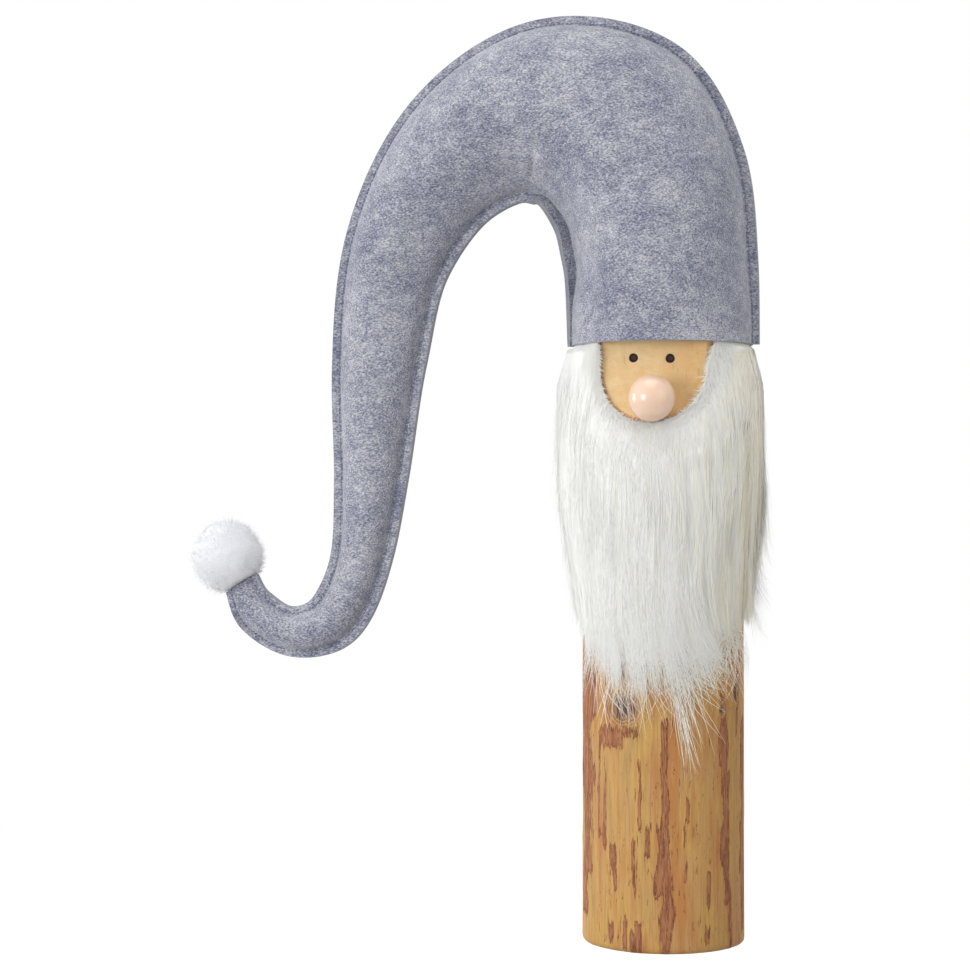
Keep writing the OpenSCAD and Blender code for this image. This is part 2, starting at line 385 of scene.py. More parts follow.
def mottled(name, rgb_a, rgb_b, texture, bump, span=(0.3, 0.7), **sockets):
    """Material whose colour, and relief where bump is given, follow one noise."""
    n = Nodes(name, **sockets)
    tone = n.noise(*texture)
    return n.finish(n.over(rgb_a, rgb_b, tone, *span), tone if bump else None, *bump)


def felt_material():
    n = Nodes("hat_felt_melange", Roughness=0.92, Sheen_Weight=0.25, Sheen_Roughness=0.55)
    cloud = n.noise(0.035, 3.0, 0.55)
    blotch = n.noise(0.19, 3.0, 0.6, 0, (0.6, 1, 1), (0, 24, 0))
    fibre_a = n.noise(1.35, 3.0, 0.64, 0.25, (0.55, 1, 1), (0, 12, 0))
    fibre_b = n.noise(1.5, 3.0, 0.64, 0.25, (0.50, 1, 1), (0, 68, 10))
    navy = n.noise(1.25, 2.0, 0.6, 0.6, (0.30, 1, 1), (0, -38, 25))
    tone = 0.525
    for x, low, high, much in ((cloud, 0.36, 0.64, 0.09), (blotch, 0.32, 0.68, 0.12),
                               (fibre_a, 0.3, 0.7, 0.36), (fibre_b, 0.3, 0.7, 0.30)):
        tone = n.stir(tone, x, low, high, much)
    ramp = n.node("ValToRGB", {"Fac": tone})
    stops = [(0.08, (88, 91, 114)), (0.31, (114, 118, 138)), (0.52, (147, 149, 163)),
             (0.74, (177, 178, 186)), (0.94, (204, 204, 208))]
    e = ramp.color_ramp.elements
    while len(e) < len(stops):
        e.new(0.5)
    for item, (pos, rgb) in zip(e, stops):
        item.position = pos
        item.color = linear(rgb)
    colour = n.coats(ramp.outputs["Color"], ((92, 99, 132), navy, 0.655, 0.70),
                     ((140, 141, 147), n.value("edge"), 0.5, 1.0, 0, 0.7))
    return n.finish(colour, n.add(fibre_a, n.add(fibre_b, navy)), 0.00045, 0.55)


def wood_material():
    n = Nodes("peeled_log_wood", Specular_IOR_Level=0.35)
    bark, cut, rim, knot, end = map(n.value, ("bark", "cut", "rim", "knot", "end"))
    # noises drawn out up the log: how much, scale, detail, roughness, warp
    grain, hair, slow, warm, ragged, torn, saw, worn, flake, tone, fleck = (
        n.noise(*more, stretch=(1, 1, up)) for up, *more in (
            (0.035, 0.9, 4.0, 0.6, 0.4), (0.05, 2.6, 3.0, 0.6), (0.3, 0.06, 3.0, 0.5),
            (0.14, 0.13, 3.0, 0.55), (0.09, 0.60, 5.0, 0.68, 0.5), (0.10, 0.33, 4.0, 0.66, 0.5),
            (0.12, 1.5, 3.0, 0.6), (0.14, 0.8, 3.0, 0.6), (0.30, 0.50, 3.0, 0.6),
            (0.22, 0.35, 4.0, 0.6), (0.11, 1.25, 2.0, 0.55)))
    # fine upright grain, and slow changes of tone round the log
    base = n.coats((198, 157, 86), ((190, 147, 92), slow, 0.42, 0.60),
                   ((184, 126, 68), warm, 0.50, 0.66), ((178, 146, 86), warm, 0.42, 0.30),
                   ((166, 114, 68), grain, 0.45, 0.75, 0, 0.75),
                   ((142, 94, 56), hair, 0.58, 0.78, 0, 0.45))
    # inner bark left on the wood: ragged patches and thin torn streaks
    near = n.stir(n.stir(bark, ragged, 0.34, 0.66, 0.48), saw, 0.36, 0.64, 0.20)
    patch = n.times(n.span(near, 0.46, 0.60), n.span(worn, 0.64, 0.58, 0.15, 1))
    flake = n.times(n.span(flake, 0.665, 0.68), n.span(slow, 0.40, 0.55))
    inner = n.stir(near, tone, 0.4, 0.6, 0.25)
    bark_rgb = n.coats((112, 60, 36), ((168, 112, 78), inner, 0.55, 1.25),
                       ((190, 132, 90), hair, 0.45, 0.72, 0, 0.65))
    dark_rgb = n.over((104, 58, 36), (146, 86, 52), tone, 0.4, 0.6)
    base = n.over(base, (184, 124, 76), near, 0.26, 0.50, 0, 0.55)
    colour = n.mix(patch, base, bark_rgb)
    colour = n.mix(n.times(flake, 0.85), colour, dark_rgb)
    colour = n.mix(n.span(torn, 0.66, 0.68, 0, 0.8), colour, dark_rgb)
    # dark lip along the patches' edges
    lip = n.times(n.span(near, 0.46, 0.54), n.span(near, 0.72, 0.58))
    colour = n.mix(n.times(lip, n.span(tone, 0.47, 0.54, 0.0, 0.9)), colour, (106, 54, 32))
    # hair-thin dark flecks
    fleck = n.times(n.span(fleck, 0.685, 0.72), n.span(slow, 0.50, 0.60, 0.35, 1))
    colour = n.mix(fleck, colour, (104, 58, 34))
    # painted shade that darkens the log's right side, away from the lamps
    colour = n.mix(n.value("tan"), colour, (0.80, 0.74, 0.64, 1), "MULTIPLY")
    # knots
    year = n.math("SINE", n.times(n.stir(knot, ragged, 0.3, 0.7, 0.10), 26.0))
    ring = n.over((140, 98, 62), (184, 144, 96), year, -1, 1)
    core = n.stir(knot, ragged, 0.3, 0.7, 0.5)
    colour = n.coats(colour, (ring, knot, 0.10, 0.34), ((84, 56, 48), core, 0.66, 0.90, 0, 0.9))
    # carved face: smooth pale wood with a pinkish rim, and painted shade that darkens and browns
    # its right side
    fine = n.noise(0.16, 5.0, 0.65, stretch=(0.7, 1, 1))
    speck = n.noise(1.6, 3.0, 0.6, stretch=(0.6, 1, 1))
    skin = n.coats((238, 200, 142), ((245, 216, 165), fine, 0.35, 0.65),
                   ((214, 164, 106), speck, 0.56, 0.74, 0, 0.45))
    across = n.node("SeparateXYZ", {0: n.place()}).outputs["X"]
    # painted shade over the face's right side, away from the lamps
    skin_in_shade = n.mix(1.0, skin, (0.87, 0.78, 0.67, 1), "MULTIPLY")
    skin = n.over(skin, skin_in_shade, n.stir(across, fine, 0.3, 0.7, 4), 2, 19)
    colour = n.over(n.mix(cut, colour, skin), (204, 148, 116),
                    n.stir(rim, speck, 0.3, 0.7, 0.35), 0.62, 0.86, 0, 0.8)
    # sawn end
    rings = n.node("TexWave", {"Vector": n.place(), "Scale": 0.16, "Distortion": 1.5,
                               "Detail": 2.0, "Detail Scale": 0.6},
                   wave_type="RINGS", rings_direction="Z")
    sawn = n.mix(rings.outputs["Fac"], (206, 170, 118), (176, 132, 84))
    n.set(n.bsdf, {"Roughness": n.mix(patch, (0.58, 0.58, 0.58, 1), (0.75, 0.75, 0.75, 1))})
    height = n.add(n.times(patch, 0.7), n.times(grain, 0.6))
    return n.finish(n.mix(end, colour, sawn), height, 0.0004, 0.7)


# -------------------------------------------------------------------- the log
def log_surface(theta, z):
    """Radius of the peeled log, and how deep the face cut is there."""
    x, y = np.sin(theta), -np.cos(theta)
    radius = LOG_R - 0.45 + (0.35 * noise(x * 1.6, y * 1.6, z / 90, 1)
                             + 0.22 * noise(x * 5, y * 5, z / 45, 2)
                             + 0.10 * noise(x * 14, y * 14, z / 30, 3))
    drop = np.maximum(FACE_Z - z, 0)
    deep = RUNOUT_R - np.sqrt(np.maximum(RUNOUT_R ** 2 - drop ** 2, 0))
    deep = np.where(drop > RUNOUT_R, FAR, deep)
    wall = -FACE_Y + deep + 0.12 * noise(x * 9, z / 14, 0, 4)
    front = np.maximum(-y, 1e-3)
    cut = np.where(front > 0.05, wall / front, FAR)
    return np.minimum(radius, cut), radius - cut


# streaks of inner bark: angle from the front in degrees, top, bottom, half width, slant
STREAKS = [
    (-60, 196, 40, 9.8, 0), (-64, 44, 16, 4.0, 0), (-42, 118, 60, 0.8, 0), (-36, 92, 55, 1.7, 1),
    (-27, 57, 34, 2.0, -2), (-31, 121, 110, 9.0, 0), (-15, 122, 115.5, 6.5, 0),
    (-6.5, 104, 66, 1.2, 1), (-11, 62, 30, 1.1, 1), (-1.5, 68, 51, 1.9, 0),
    (10, 126, 64, 2.9, 0), (9.5, 70, 30, 5.2, 0), (12, 36, -6, 3.2, 0),
    (27, 83, 70, 1.0, 0), (23, 68, 57, 0.8, 0), (24, 49, 39, 0.8, 0),
    (56, 138, 92, 3.2, -2), (59.5, 96, 44, 3.6, 0), (60, 50, 24, 3.4, -1),
    (64, 30, -4, 1.6, 0), (83, 124, 8, 4.4, 1), (73, 150, 116, 2.0, 1),
    (43, 43, 24, 1.3, 0), (41, 14, 5, 1.6, 0), (-30, 15, 4, 2.4, 0), (-18, 19, 2, 1.2, 0),
    (-14, 12, -4, 1.6, 0), (-8, 17, -6, 2.2, 0),
    (112, 240, 60, 5.0, 4), (137, 330, 10, 3.5, 2), (158, 180, 30, 6.0, -4),
    (178, 320, 120, 3.0, 3), (186, 90, -5, 5.0, 0), (206, 300, 40, 4.5, -3),
    (232, 200, -5, 3.5, 2), (250, 330, 90, 6.0, 3), (272, 150, 20, 3.0, 0)]
# knots: angle, height, half width, half height
KNOTS = [(-19.5, 131, 11, 10), (70.5, 138.5, 4.0, 6.5), (54, 130, 2.6, 5), (168, 236, 6, 9),
         (222, 120, 5, 7), (205, 318, 4, 7)]
# rings that close the log's ends, as shares of its radius
END_RINGS = (0.98, 0.72, 0.42, 0.15)


def build_log():
    cols = 420
    heights = np.concatenate([
        [0.0, 0.5, 1.4], np.linspace(3, 270, 130),
        np.linspace(271.2, 334, 64), [338, 342, 346, 349.5, 351, LOG_H]])
    rows = len(heights)
    th, z = np.meshgrid(2 * math.pi * np.arange(cols) / cols, heights)
    r, depth = log_surface(th, z)

    def off_from(a):
        return (np.degrees(th) - a + 180) % 360 - 180

    def arc_from(a):
        return off_from(a) * math.pi / 180 * LOG_R

    bark, knot, end = (np.zeros_like(r) for _ in range(3))
    for a, zk, w, h in KNOTS:
        q = np.hypot(arc_from(a) / w, (z - zk) / h)
        knot = np.maximum(knot, 1 - smooth(0.2, 1.25, q))
        r = r - 0.9 * np.exp(-(q / 0.55) ** 2) + 0.7 * np.exp(-((q - 1.05) / 0.3) ** 2)
    for k, (a, top, low, w, slant) in enumerate(STREAKS):
        wander = 1.2 * noise(z / 27.0, k * 3.7, 0, 11) + 0.4 * noise(z / 8.0, k * 5.1, 0, 12)
        width = w * (0.9 + 0.45 * noise(z / 19.0, k * 9.3, 0, 13))
        off = np.abs(arc_from(a) + wander + slant * ((top - z) / (top - low) - 0.5))
        soft = np.minimum(0.55 * width, 2.2)
        tear = 3.0 + 2.0 * noise(off / 1.5, k * 2.3, 0, 14)
        ends = smooth(-tear, tear, top - z) * smooth(-tear, tear, z - low)
        bark = np.maximum(bark, ends * (1 - smooth(width - soft, width + soft, off)))
    cut = smooth(0.15, 0.6, depth)
    r = r + 0.28 * smooth(0.35, 0.6, bark) * (1 - cut)
    # beside the face's upper right the wood is scraped bare too
    angle = off_from(0)
    bare = smooth(28, 36, angle) * (1 - smooth(52, 54, angle)) * smooth(300, 310, z)
    cut = np.maximum(cut, bare)
    rim = np.exp(-((depth - 0.35) / 0.9) ** 2) * (depth > -1.2) * (1 - bare)
    # painted shade: the log's right side, away from the lamps, is darkened
    tan = smooth(15, 75, angle) * (1 - smooth(150, 175, angle))
    # sawn base with a small chamfer, and the plain top inside the hat
    r[:3] = r[3] - np.array([[1.5], [0.9], [0.2]])
    r[-1] = np.minimum(r[-1], LOG_R - 3)
    end[[0, -1]] = 1
    verts = np.stack([r * np.sin(th), -r * np.cos(th), z], -1).reshape(-1, 3)
    # discs that close both ends, each with a fan of triangles at its middle
    points, faces, fans = [verts], [grid_faces(rows, cols, True)], []
    count, extra = len(END_RINGS), 2 * len(END_RINGS)
    for top in (0, 1):
        last = np.arange(cols) + top * (rows - 1) * cols
        ring = verts[last]
        for step, f in enumerate(END_RINGS):
            ids = np.arange(cols) + (rows + count * top + step) * cols
            points.append(ring * [f, f, 1])
            q = np.stack([last, np.roll(last, -1), np.roll(ids, -1), ids], -1)
            faces.append(q if top else q[:, ::-1])
            last = ids
        middle = np.full(cols, (rows + extra) * cols + top)
        fan = np.stack([last, np.roll(last, -1), middle], -1)
        fans.append(fan if top else fan[:, ::-1])
    points.append([[0, 0, 0], [0, 0, LOG_H]])
    log = new_mesh("peeled_log", np.concatenate(points), faces + fans, wood_material(), 50)
    for name, field, fill in (("bark", bark * (1 - cut), 0), ("cut", cut, 0), ("rim", rim, 0),
                              ("knot", knot * (1 - cut), 0), ("tan", tan, 0), ("end", end, 1)):
        pad = np.full(extra * cols + 2, fill)
        attribute(log.data, name, np.concatenate([field.ravel(), pad]))
    stands_for(log, "log")


# ------------------------------------------------------------- nose and eyes
def build_nose():
    n, m = 72, 96
    dirs = ball(math.pi * np.arange(1, n) / n, m)[..., [0, 2, 1]]
    pts = np.array(NOSE) + NOSE_R * dirs * (1 + 0.004 * noise_at(dirs * 2, 21))[..., None]
    # turned flat with the mouth of the dowel's hole at the back
    back = NOSE[1] + math.sqrt(NOSE_R ** 2 - DOWEL_R ** 2)
    pts[..., 1] = np.minimum(pts[..., 1], back)
    poles = [[NOSE[0], back, NOSE[2]], [NOSE[0], NOSE[1] - NOSE_R, NOSE[2]]]
    k, ring = (n - 1) * m, np.arange(m)
    top = np.stack([np.roll(ring, -1), ring, np.full(m, k)], -1)
    low = ring + k - m
    bottom = np.stack([low, np.roll(low, -1), np.full(m, k + 1)], -1)
    nodes = Nodes("nose_lacquer", Roughness=0.30, Coat_Weight=0.6, Coat_Roughness=0.16,
                  Subsurface_Weight=0.06, Subsurface_Scale=0.004)
    tint = nodes.noise(0.09)
    colour = nodes.over((240, 206, 180), (236, 199, 170), tint, 0.35, 0.65)
    lacquer = nodes.finish(colour, nodes.noise(0.6), 0.00004, 0.5)
    nose = new_mesh("nose_lacquered_ball", np.concatenate([pts.reshape(-1, 3), poles]),
                    [grid_faces(n - 1, m, True), top, bottom], lacquer, 45)
    stands_for(nose, "nose_ball")


def build_eyes():
    nodes = Nodes("eye_stain", Roughness=0.6, Specular_IOR_Level=0.25)
    grain = nodes.noise(1.4, 3.0)
    tone = nodes.mix(nodes.value("ring"), (66, 38, 36), (34, 20, 19))
    stain = nodes.finish(nodes.over(tone, (52, 30, 28), grain, 0.4, 0.7, 0, 0.4),
                         grain, 0.00005, 0.5)
    # profile of the peg from the middle of its dimple outwards: radius, height
    radius, height = np.array([
        (0.02, -0.22), (0.6, -0.21), (1.0, -0.17), (1.35, -0.06), (1.6, 0.05), (2.0, 0.10),
        (2.3, 0.03), (2.45, -0.15), (2.5, -0.4), (2.5, -3.9), (0.02, -4.0)]).T[..., None]
    a = 2 * math.pi * np.arange(48) / 48
    for node, (x, z) in EYES.items():
        r = radius * (1 + 0.02 * np.sin(3 * a + x))
        verts = np.stack([x + r * np.cos(a), FACE_Y - 0.4 - height + 0 * r,
                          z + r * np.sin(a)], -1)
        eye = new_mesh(node + "_peg", verts, closed_faces(len(r), len(a), flip=True), stain, 35)
        attribute(eye.data, "ring", smooth(0.9, 1.7, radius) + 0 * r)
        stands_for(eye, node)


# -------------------------------------------------------------------- the hat
# soft folds of the felt, front and back: both ends (x, z), half width, height
FOLDS = {
    True: [(-92, 420, -50, 425, 6.5, -2.2), (-39, 368, -40, 331, 3.2, 1.1),
           (-33, 372, -33, 331, 3.6, -0.9), (-38, 412, -22, 372, 6.0, 1.3),
           (-14, 420, -8, 350, 8.0, -0.8), (-60, 436, -36, 462, 7.0, -1.3),
           (-104, 432, -128, 404, 7.0, -1.0), (-96, 446, -118, 428, 7.0, 0.8),
           (18, 440, 30, 372, 9.0, 0.8), (-140, 380, -158, 330, 7.0, -0.7),
           (-172, 262, -164, 214, 5.0, 0.7), (-60, 452, -96, 470, 9.0, 0.9),
           (-176, 232, -182, 196, 5.0, -0.7), (-20, 340, 14, 336, 6.0, -0.5)],
    False: [(-88, 421, -54, 424, 6.5, -2.2), (-37, 372, -40, 331, 3.6, 1.0),
            (-30, 400, -26, 344, 6.0, -1.1), (4, 430, -2, 360, 9.0, 0.9),
            (-58, 438, -30, 470, 7.5, -1.4), (-108, 430, -132, 398, 7.0, -1.1),
            (24, 420, 32, 350, 8.0, -0.9), (-150, 370, -160, 310, 7.0, 0.8),
            (-170, 250, -176, 206, 5.0, -0.8), (-70, 462, -104, 462, 9.0, 0.8)]}
# points over each allowance and over the body between them; how far the stitching
# lies outside the body
HEM_POINTS, BODY_POINTS, HEM_GAP = 9, 61, 0.9


def folds(front, x, z):
    """How far the felt's folds lift or sink it at (x, z)."""
    total = 0
    for x0, z0, x1, z1, width, height in FOLDS[front]:
        ax, az = x1 - x0, z1 - z0
        long = math.hypot(ax, az)
        t = ((x - x0) * ax + (z - z0) * az) / long ** 2
        off = ((x - x0) * az - (z - z0) * ax) / long
        off = off + 0.35 * width * noise(t * 1.7 + height, z0, 0, 36)
        over = (np.abs(t - 0.5) - 0.5).clip(0) * long
        total = total + height * np.exp(-(off / width) ** 2 - (over / (1.6 * width)) ** 2)
    return total


def grid_normals(points):
    return unit(np.cross(np.gradient(points, axis=0), np.gradient(points, axis=1)))


def hat_middle_surface(front, s):
    """Middle of the felt for one panel: points and normals, [len(s), K, 3]."""
    mid, across, w, d, seam, w_in = (v if v.ndim > 1 else v[:, None] for v in station(s))
    s = s[:, None]
    half = FELT / 2
    sign = -1.0 if front else 1.0
    hem = np.linspace(0, 1, HEM_POINTS)
    even = np.linspace(0, 1, BODY_POINTS)
    a = math.pi * (0.5 * (0.5 - 0.5 * np.cos(math.pi * even)) + 0.5 * even)[1:-1]
    u = np.concatenate([
        w + seam - (seam - HEM_GAP) * hem,
        np.where(np.cos(a) > 0, w + HEM_GAP, w_in + HEM_GAP) * np.cos(a),
        -(w_in + HEM_GAP + (w - w_in + seam - HEM_GAP) * hem)], 1)
    flat = np.full((len(s), HEM_POINTS), half)
    v = np.concatenate([flat, half * 0.55 + d * np.sin(a) + half * 0.45, flat], 1)
    # the body bulges beside the crown's allowance by the arch
    swell = smooth(3.7, 2.3, s) * (0.6 + 0.4 * noise(s * 1.9, 7.0, 0, 37))
    u = u - 2.2 * swell * (u < 0) * np.exp(-((v - 9.5) / 5.5) ** 2)
    lock = np.zeros(u.shape[1])
    lock[:7] = lock[-7:] = 1
    for _ in range(3):
        for f in (u, v):
            g = (f[:, :-2] + 2 * f[:, 1:-1] + f[:, 2:]) / 4
            f[:, 1:-1] = g + (f[:, 1:-1] - g) * lock[1:-1]
    # by the arch the allowance is turned to the front, most where the crown is full
    turn = math.radians(33) * smooth(3.5, 2.3, s) * (0.6 + 0.4 * smooth(-0.2, 0.9, s))
    turn = turn + 0.15 * noise(s * 2.6, 0, 0, 31) * smooth(3.8, 2.6, s)
    body_edge = np.where(u < 0, w_in, w) + HEM_GAP
    beyond = np.maximum(np.abs(u) - body_edge, 0)
    bend = turn * (u < 0) * smooth(0, 2.2, beyond)
    flange = smooth(0, 0.3, beyond)
    face = sign * v * flange
    nu = np.where(u < 0, u + beyond * (1 - np.cos(bend)) - face * np.sin(bend), u)
    ny = sign * v * (1 - flange) + face * np.cos(bend) - beyond * np.sin(bend)
    pts = mid[:, None] + nu[..., None] * across[:, None] + ny[..., None] * [0, 1, 0]
    seat = sign * np.stack([-np.sin(bend), np.cos(bend)], -1)
    # folds: soft undulation, a crease from the inner bend, dimples along the seams
    body = smooth(0.0, 9.0, body_edge - np.abs(u))
    x, z = pts[..., 0], pts[..., 2]
    wave = (1.0 * noise(x / 46, z / 46, 3.0 if front else 9.0, 32)
            + 0.45 * noise(x / 17, z / 17, 5.0 if front else 1.0, 33))
    inner = np.clip((w + u) / (0.75 * w + 1e-6), 0, 1)
    crease = -2.6 * np.exp(-((s - 3.55) / 0.10) ** 2) * (1 - smooth(0.15, 0.8, inner))
    pucker = (-0.5 * np.abs(np.sin(s * 9.0 + 2 * noise(s, 0, 0, 35)))
              * np.exp(-((np.abs(u) - w + 6) / 5.0) ** 2) * (u < 0)
              * np.exp(-((s - 3.8) / 1.6) ** 2))
    normal = grid_normals(pts)
    if np.mean(normal[:, 30, 1]) * sign < 0:
        normal = -normal
    amount = (wave + crease + folds(front, x, z)) * body + pucker
    pts = pts + normal * amount[..., None]
    bent = grid_normals(pts)
    bent *= np.sign((bent * normal).sum(2, keepdims=True))
    return pts, bent, beyond, seat, w_in + HEM_GAP


def bend_with(obj):
    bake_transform(obj)


def build_felt(material):
    count = 330
    s_all = np.unique(np.concatenate([np.linspace(0, LAST, count), [SPLIT]]))
    cut = int(np.argmin(np.abs(s_all - SPLIT)))
    centre, across = (v[:, None] for v in station(s_all)[:2])
    for label, front in (("front", True), ("back", False)):
        mid, normal, beyond, seat, root = hat_middle_surface(front, s_all)
        sign = -1.0 if front else 1.0
        outer, inner = (mid + side * normal * FELT / 2 for side in (1, -1))
        k = mid.shape[1]
        # the allowances of the two panels meet face to face
        u_in = ((inner - centre) * across).sum(2)
        lift = np.where(beyond > 0, (u_in + root) * seat[..., 0] * (u_in < 0)
                        + inner[..., 1] * seat[..., 1], sign * inner[..., 1])
        short = np.maximum(0.02 - lift, 0)
        inner[..., 1] += short * np.where(beyond > 0, seat[..., 1], sign)
        inner += (short * seat[..., 0] * (u_in < 0) * (beyond > 0))[..., None] * across
        skin, normals = (np.concatenate([a, b[:, ::-1]], 1)
                         for a, b in ((outer, inner), (normal, -normal)))
        a = np.arange(k - 1)
        cap = np.stack([a, a + 1, 2 * k - 2 - a, 2 * k - 1 - a], -1)
        cap = cap[:, ::-1] if front else cap
        for name, rows, hem in (("crown", slice(0, cut + 1), 0), ("tail", slice(cut, None), -1)):
            verts = skin[rows]
            faces = [grid_faces(len(verts), 2 * k, True, flip=front), cap[:, ::-1],
                     cap + (len(verts) - 1) * 2 * k]
            felt = new_mesh("felt_%s_%s" % (label, name), verts, faces, material)
            # the cut edges of the felt
            edge = np.zeros(verts.shape[:2])
            edge[:, [0, k - 1, k, -1]] = 1
            edge[hem] = 1
            attribute(felt.data, "edge", edge)
            set_felt_normals(felt.data, normals[rows].reshape(-1, 3))
            stands_for(felt, "hat_%s_panel" % label, None)
            bend_with(felt)


def set_felt_normals(mesh, normals):
    """Normals from the whole hat, so the two pieces shade as one; cut edges keep theirs."""
    corner = np.zeros(len(mesh.loops), np.int32)
    mesh.loops.foreach_get("vertex_index", corner)
    faces = np.zeros((len(mesh.polygons), 3), np.float32)
    mesh.polygons.foreach_get("normal", faces.ravel())
    faces = np.repeat(faces, 4, axis=0)
    soft = normals[corner]
    agree = (soft * faces).sum(1, keepdims=True) > 0.5
    mesh.normals_split_custom_set(np.where(agree, soft, faces).tolist())


def build_seams(material):
    """Lockstitches along both seams, on the front and on the back."""
    pitch, length, radius = 2.45, 1.85, 0.27
    s = np.linspace(0, LAST, 500)
    t = np.linspace(0, 1, 5)
    # the columns of the felt's grid that lie on the seam lines
    for label, col in (("outer", 5), ("inner", -6)):
        found, where = [], []
        for front in (True, False):
            mid, normal = (v[:, col] for v in hat_middle_surface(front, s)[:2])
            line = mid + normal * (FELT / 2)
            step = np.linalg.norm(np.diff(line, axis=0), axis=1)
            run = np.concatenate([[0], np.cumsum(step)])
            starts = np.arange(1.2, run[-1] - 2.5, pitch)
            at = (starts + 0.12 * noise(starts * 0.9, 3.0, 0, 41))[:, None] + length * t
            pos, out = (np.stack([np.interp(at, run, c) for c in v.T], -1)
                        for v in (line, normal))
            found.append(pos + out * (0.16 - 0.55 * (2 * t - 1) ** 4)[:, None])
            where.append(np.interp(starts, run, s))
        found, where = np.concatenate(found), np.concatenate(where)
        for part, keep in (("crown", where < SPLIT), ("tail", where >= SPLIT)):
            paths = found[keep]
            radii = np.full(paths.shape[:2], radius) * [0.8, 1, 1, 1, 0.8]
            verts, faces, _ = tubes(paths, radii, 6, 42)
            obj = new_mesh("%s_seam_stitches_%s" % (label, part), verts, faces, material)
            stands_for(obj, label + "_seam_thread", None)
            bend_with(obj)


def build_stuffing():
    fibre = mottled("polyester_stuffing", (232, 232, 230), (250, 250, 248), (0.5, 4.0, 0.7),
                    (0.0008, 0.8), Roughness=0.9, Sheen_Weight=0.3)
    n, m = 60, 48
    t = np.linspace(0, 1, n)[:, None]
    a = 2 * math.pi * np.arange(m) / m
    # stations at both ends, and how much of the length each rounded end takes
    for part, body, s0, s1, d0, d1 in (("crown", "trunk", 0.51, 4.42, 0, 0.22),
                                       ("tail", "tail", 4.58, 8.9, 0.14, 0.08),
                                       ("tip", "tip", 9.1, 12.5, 0.10, 0.08)):
        mid, across, w, d, _, w_in = station(s0 + (s1 - s0) * t)
        ends = [np.minimum(1, x / over) if over else 1 for x, over in ((t, d0), (1 - t, d1))]
        k = np.maximum(0.12, math.prod(np.sqrt(1 - (1 - e) ** 2) for e in ends))
        lump = 1 - 0.05 * (1 + noise(t * 9, np.cos(a) * 2, np.sin(a), 51))
        u = (np.where(np.cos(a) < 0, w_in, w) - 2.2) * (0.3 + 0.7 * k) * np.cos(a) * lump
        pts = mid + u[..., None] * across
        pts[..., 1] -= np.maximum(d - 2.0, 1.2) * k * np.sin(a) * lump
        if part == "crown":
            # it stands on the log's end
            pts[..., 2] = np.maximum(pts[..., 2], LOG_H + 0.3)
        obj = new_mesh(part + "_stuffing", pts, closed_faces(n, m), fibre, 60)
        stands_for(obj, part + "_fill", body)


# ------------------------------------------------------------------ the beard
def jamb(x, z):
    """Half width of the opening for the face: the fur is pushed aside at the upper right."""
    return CUT_R + FLARE * smooth(CUT_Z - 4, CUT_Z + 22, z) * (x > 0)


def face_edge(p):
    """Height at which the fur and its backing end over each angle, at the front."""
    x = BACK_OUT * np.sin(np.radians(p))
    arch = CUT_Z - np.sqrt(np.maximum(CUT_R ** 2 - x ** 2, 0))
    levels = np.linspace(CUT_Z - 4, BRIM_Z, 40)
    wide = jamb(1, BRIM_Z)
    arch = np.where((x > CUT_R - 0.05) & (x < wide), np.interp(x, jamb(1, levels), levels), arch)
    return np.where((x > -CUT_R) & (x < wide), arch, FAR)


def build_backing():
    nodes = Nodes("fur_knit_backing", Roughness=0.9)
    knit = nodes.node("TexWave", {"Vector": nodes.place(), "Scale": 0.45, "Distortion": 1.0},
                      wave_type="BANDS", bands_direction="Z").outputs["Fac"]
    knitted = nodes.finish(nodes.mix(knit, (206, 200, 188), (234, 230, 220)), knit, 0.0003, 0.6)
    p = np.linspace(-BACK_HALF, BACK_HALF, 160)
    top = np.where(np.abs(p) > 90, BACK_TOP, face_edge(p))
    t = np.linspace(0, 1, 90)[:, None]
    z = BACK_LOW + (np.minimum(top, BACK_TOP) - BACK_LOW) * t
    grids, faces, _ = shell(p, BACK_OUT, BACK_IN, z)
    obj = new_mesh("fur_backing", grids, faces, knitted, 50)
    stands_for(obj, "beard_backing")


# partings between the big locks: angle, top, bottom, half width in degrees, depth
PARTINGS = [(61, 300, 206, 4.0, 0.26), (47, 240, 180, 4.5, 0.30), (22, 276, 208, 3.0, 0.13),
            (8, 262, 224, 2.5, 0.10), (34, 225, 176, 3.5, 0.16), (-20, 232, 186, 3.0, 0.08),
            (78, 262, 200, 4.0, 0.18), (150, 300, 200, 5.0, 0.2), (-96, 280, 200, 4.0, 0.15)]
# the beard's lower edge: angle, height
END_ANGLES = [-120, -76, -58, -45, -33, -20, 5, 15, 21, 29, 38, 51, 66, 86, 120]
END_HEIGHTS = [188, 182, 176, 159, 147, 143, 139, 140, 148, 157, 166, 174, 182, 187, 190]
# height to which the fur reaches up under the brim
FUR_TOP = BRIM_Z + 3.5


def face_gap(p, z):
    """Distance over the backing from the edge of the opening for the face."""
    x = BACK_OUT * np.sin(np.radians(p))
    gap = np.where(z < CUT_Z, np.hypot(x, z - CUT_Z), np.abs(x)) - jamb(x, z)
    return gap + np.where(np.abs(p) < 90, 0.0, 100.0)


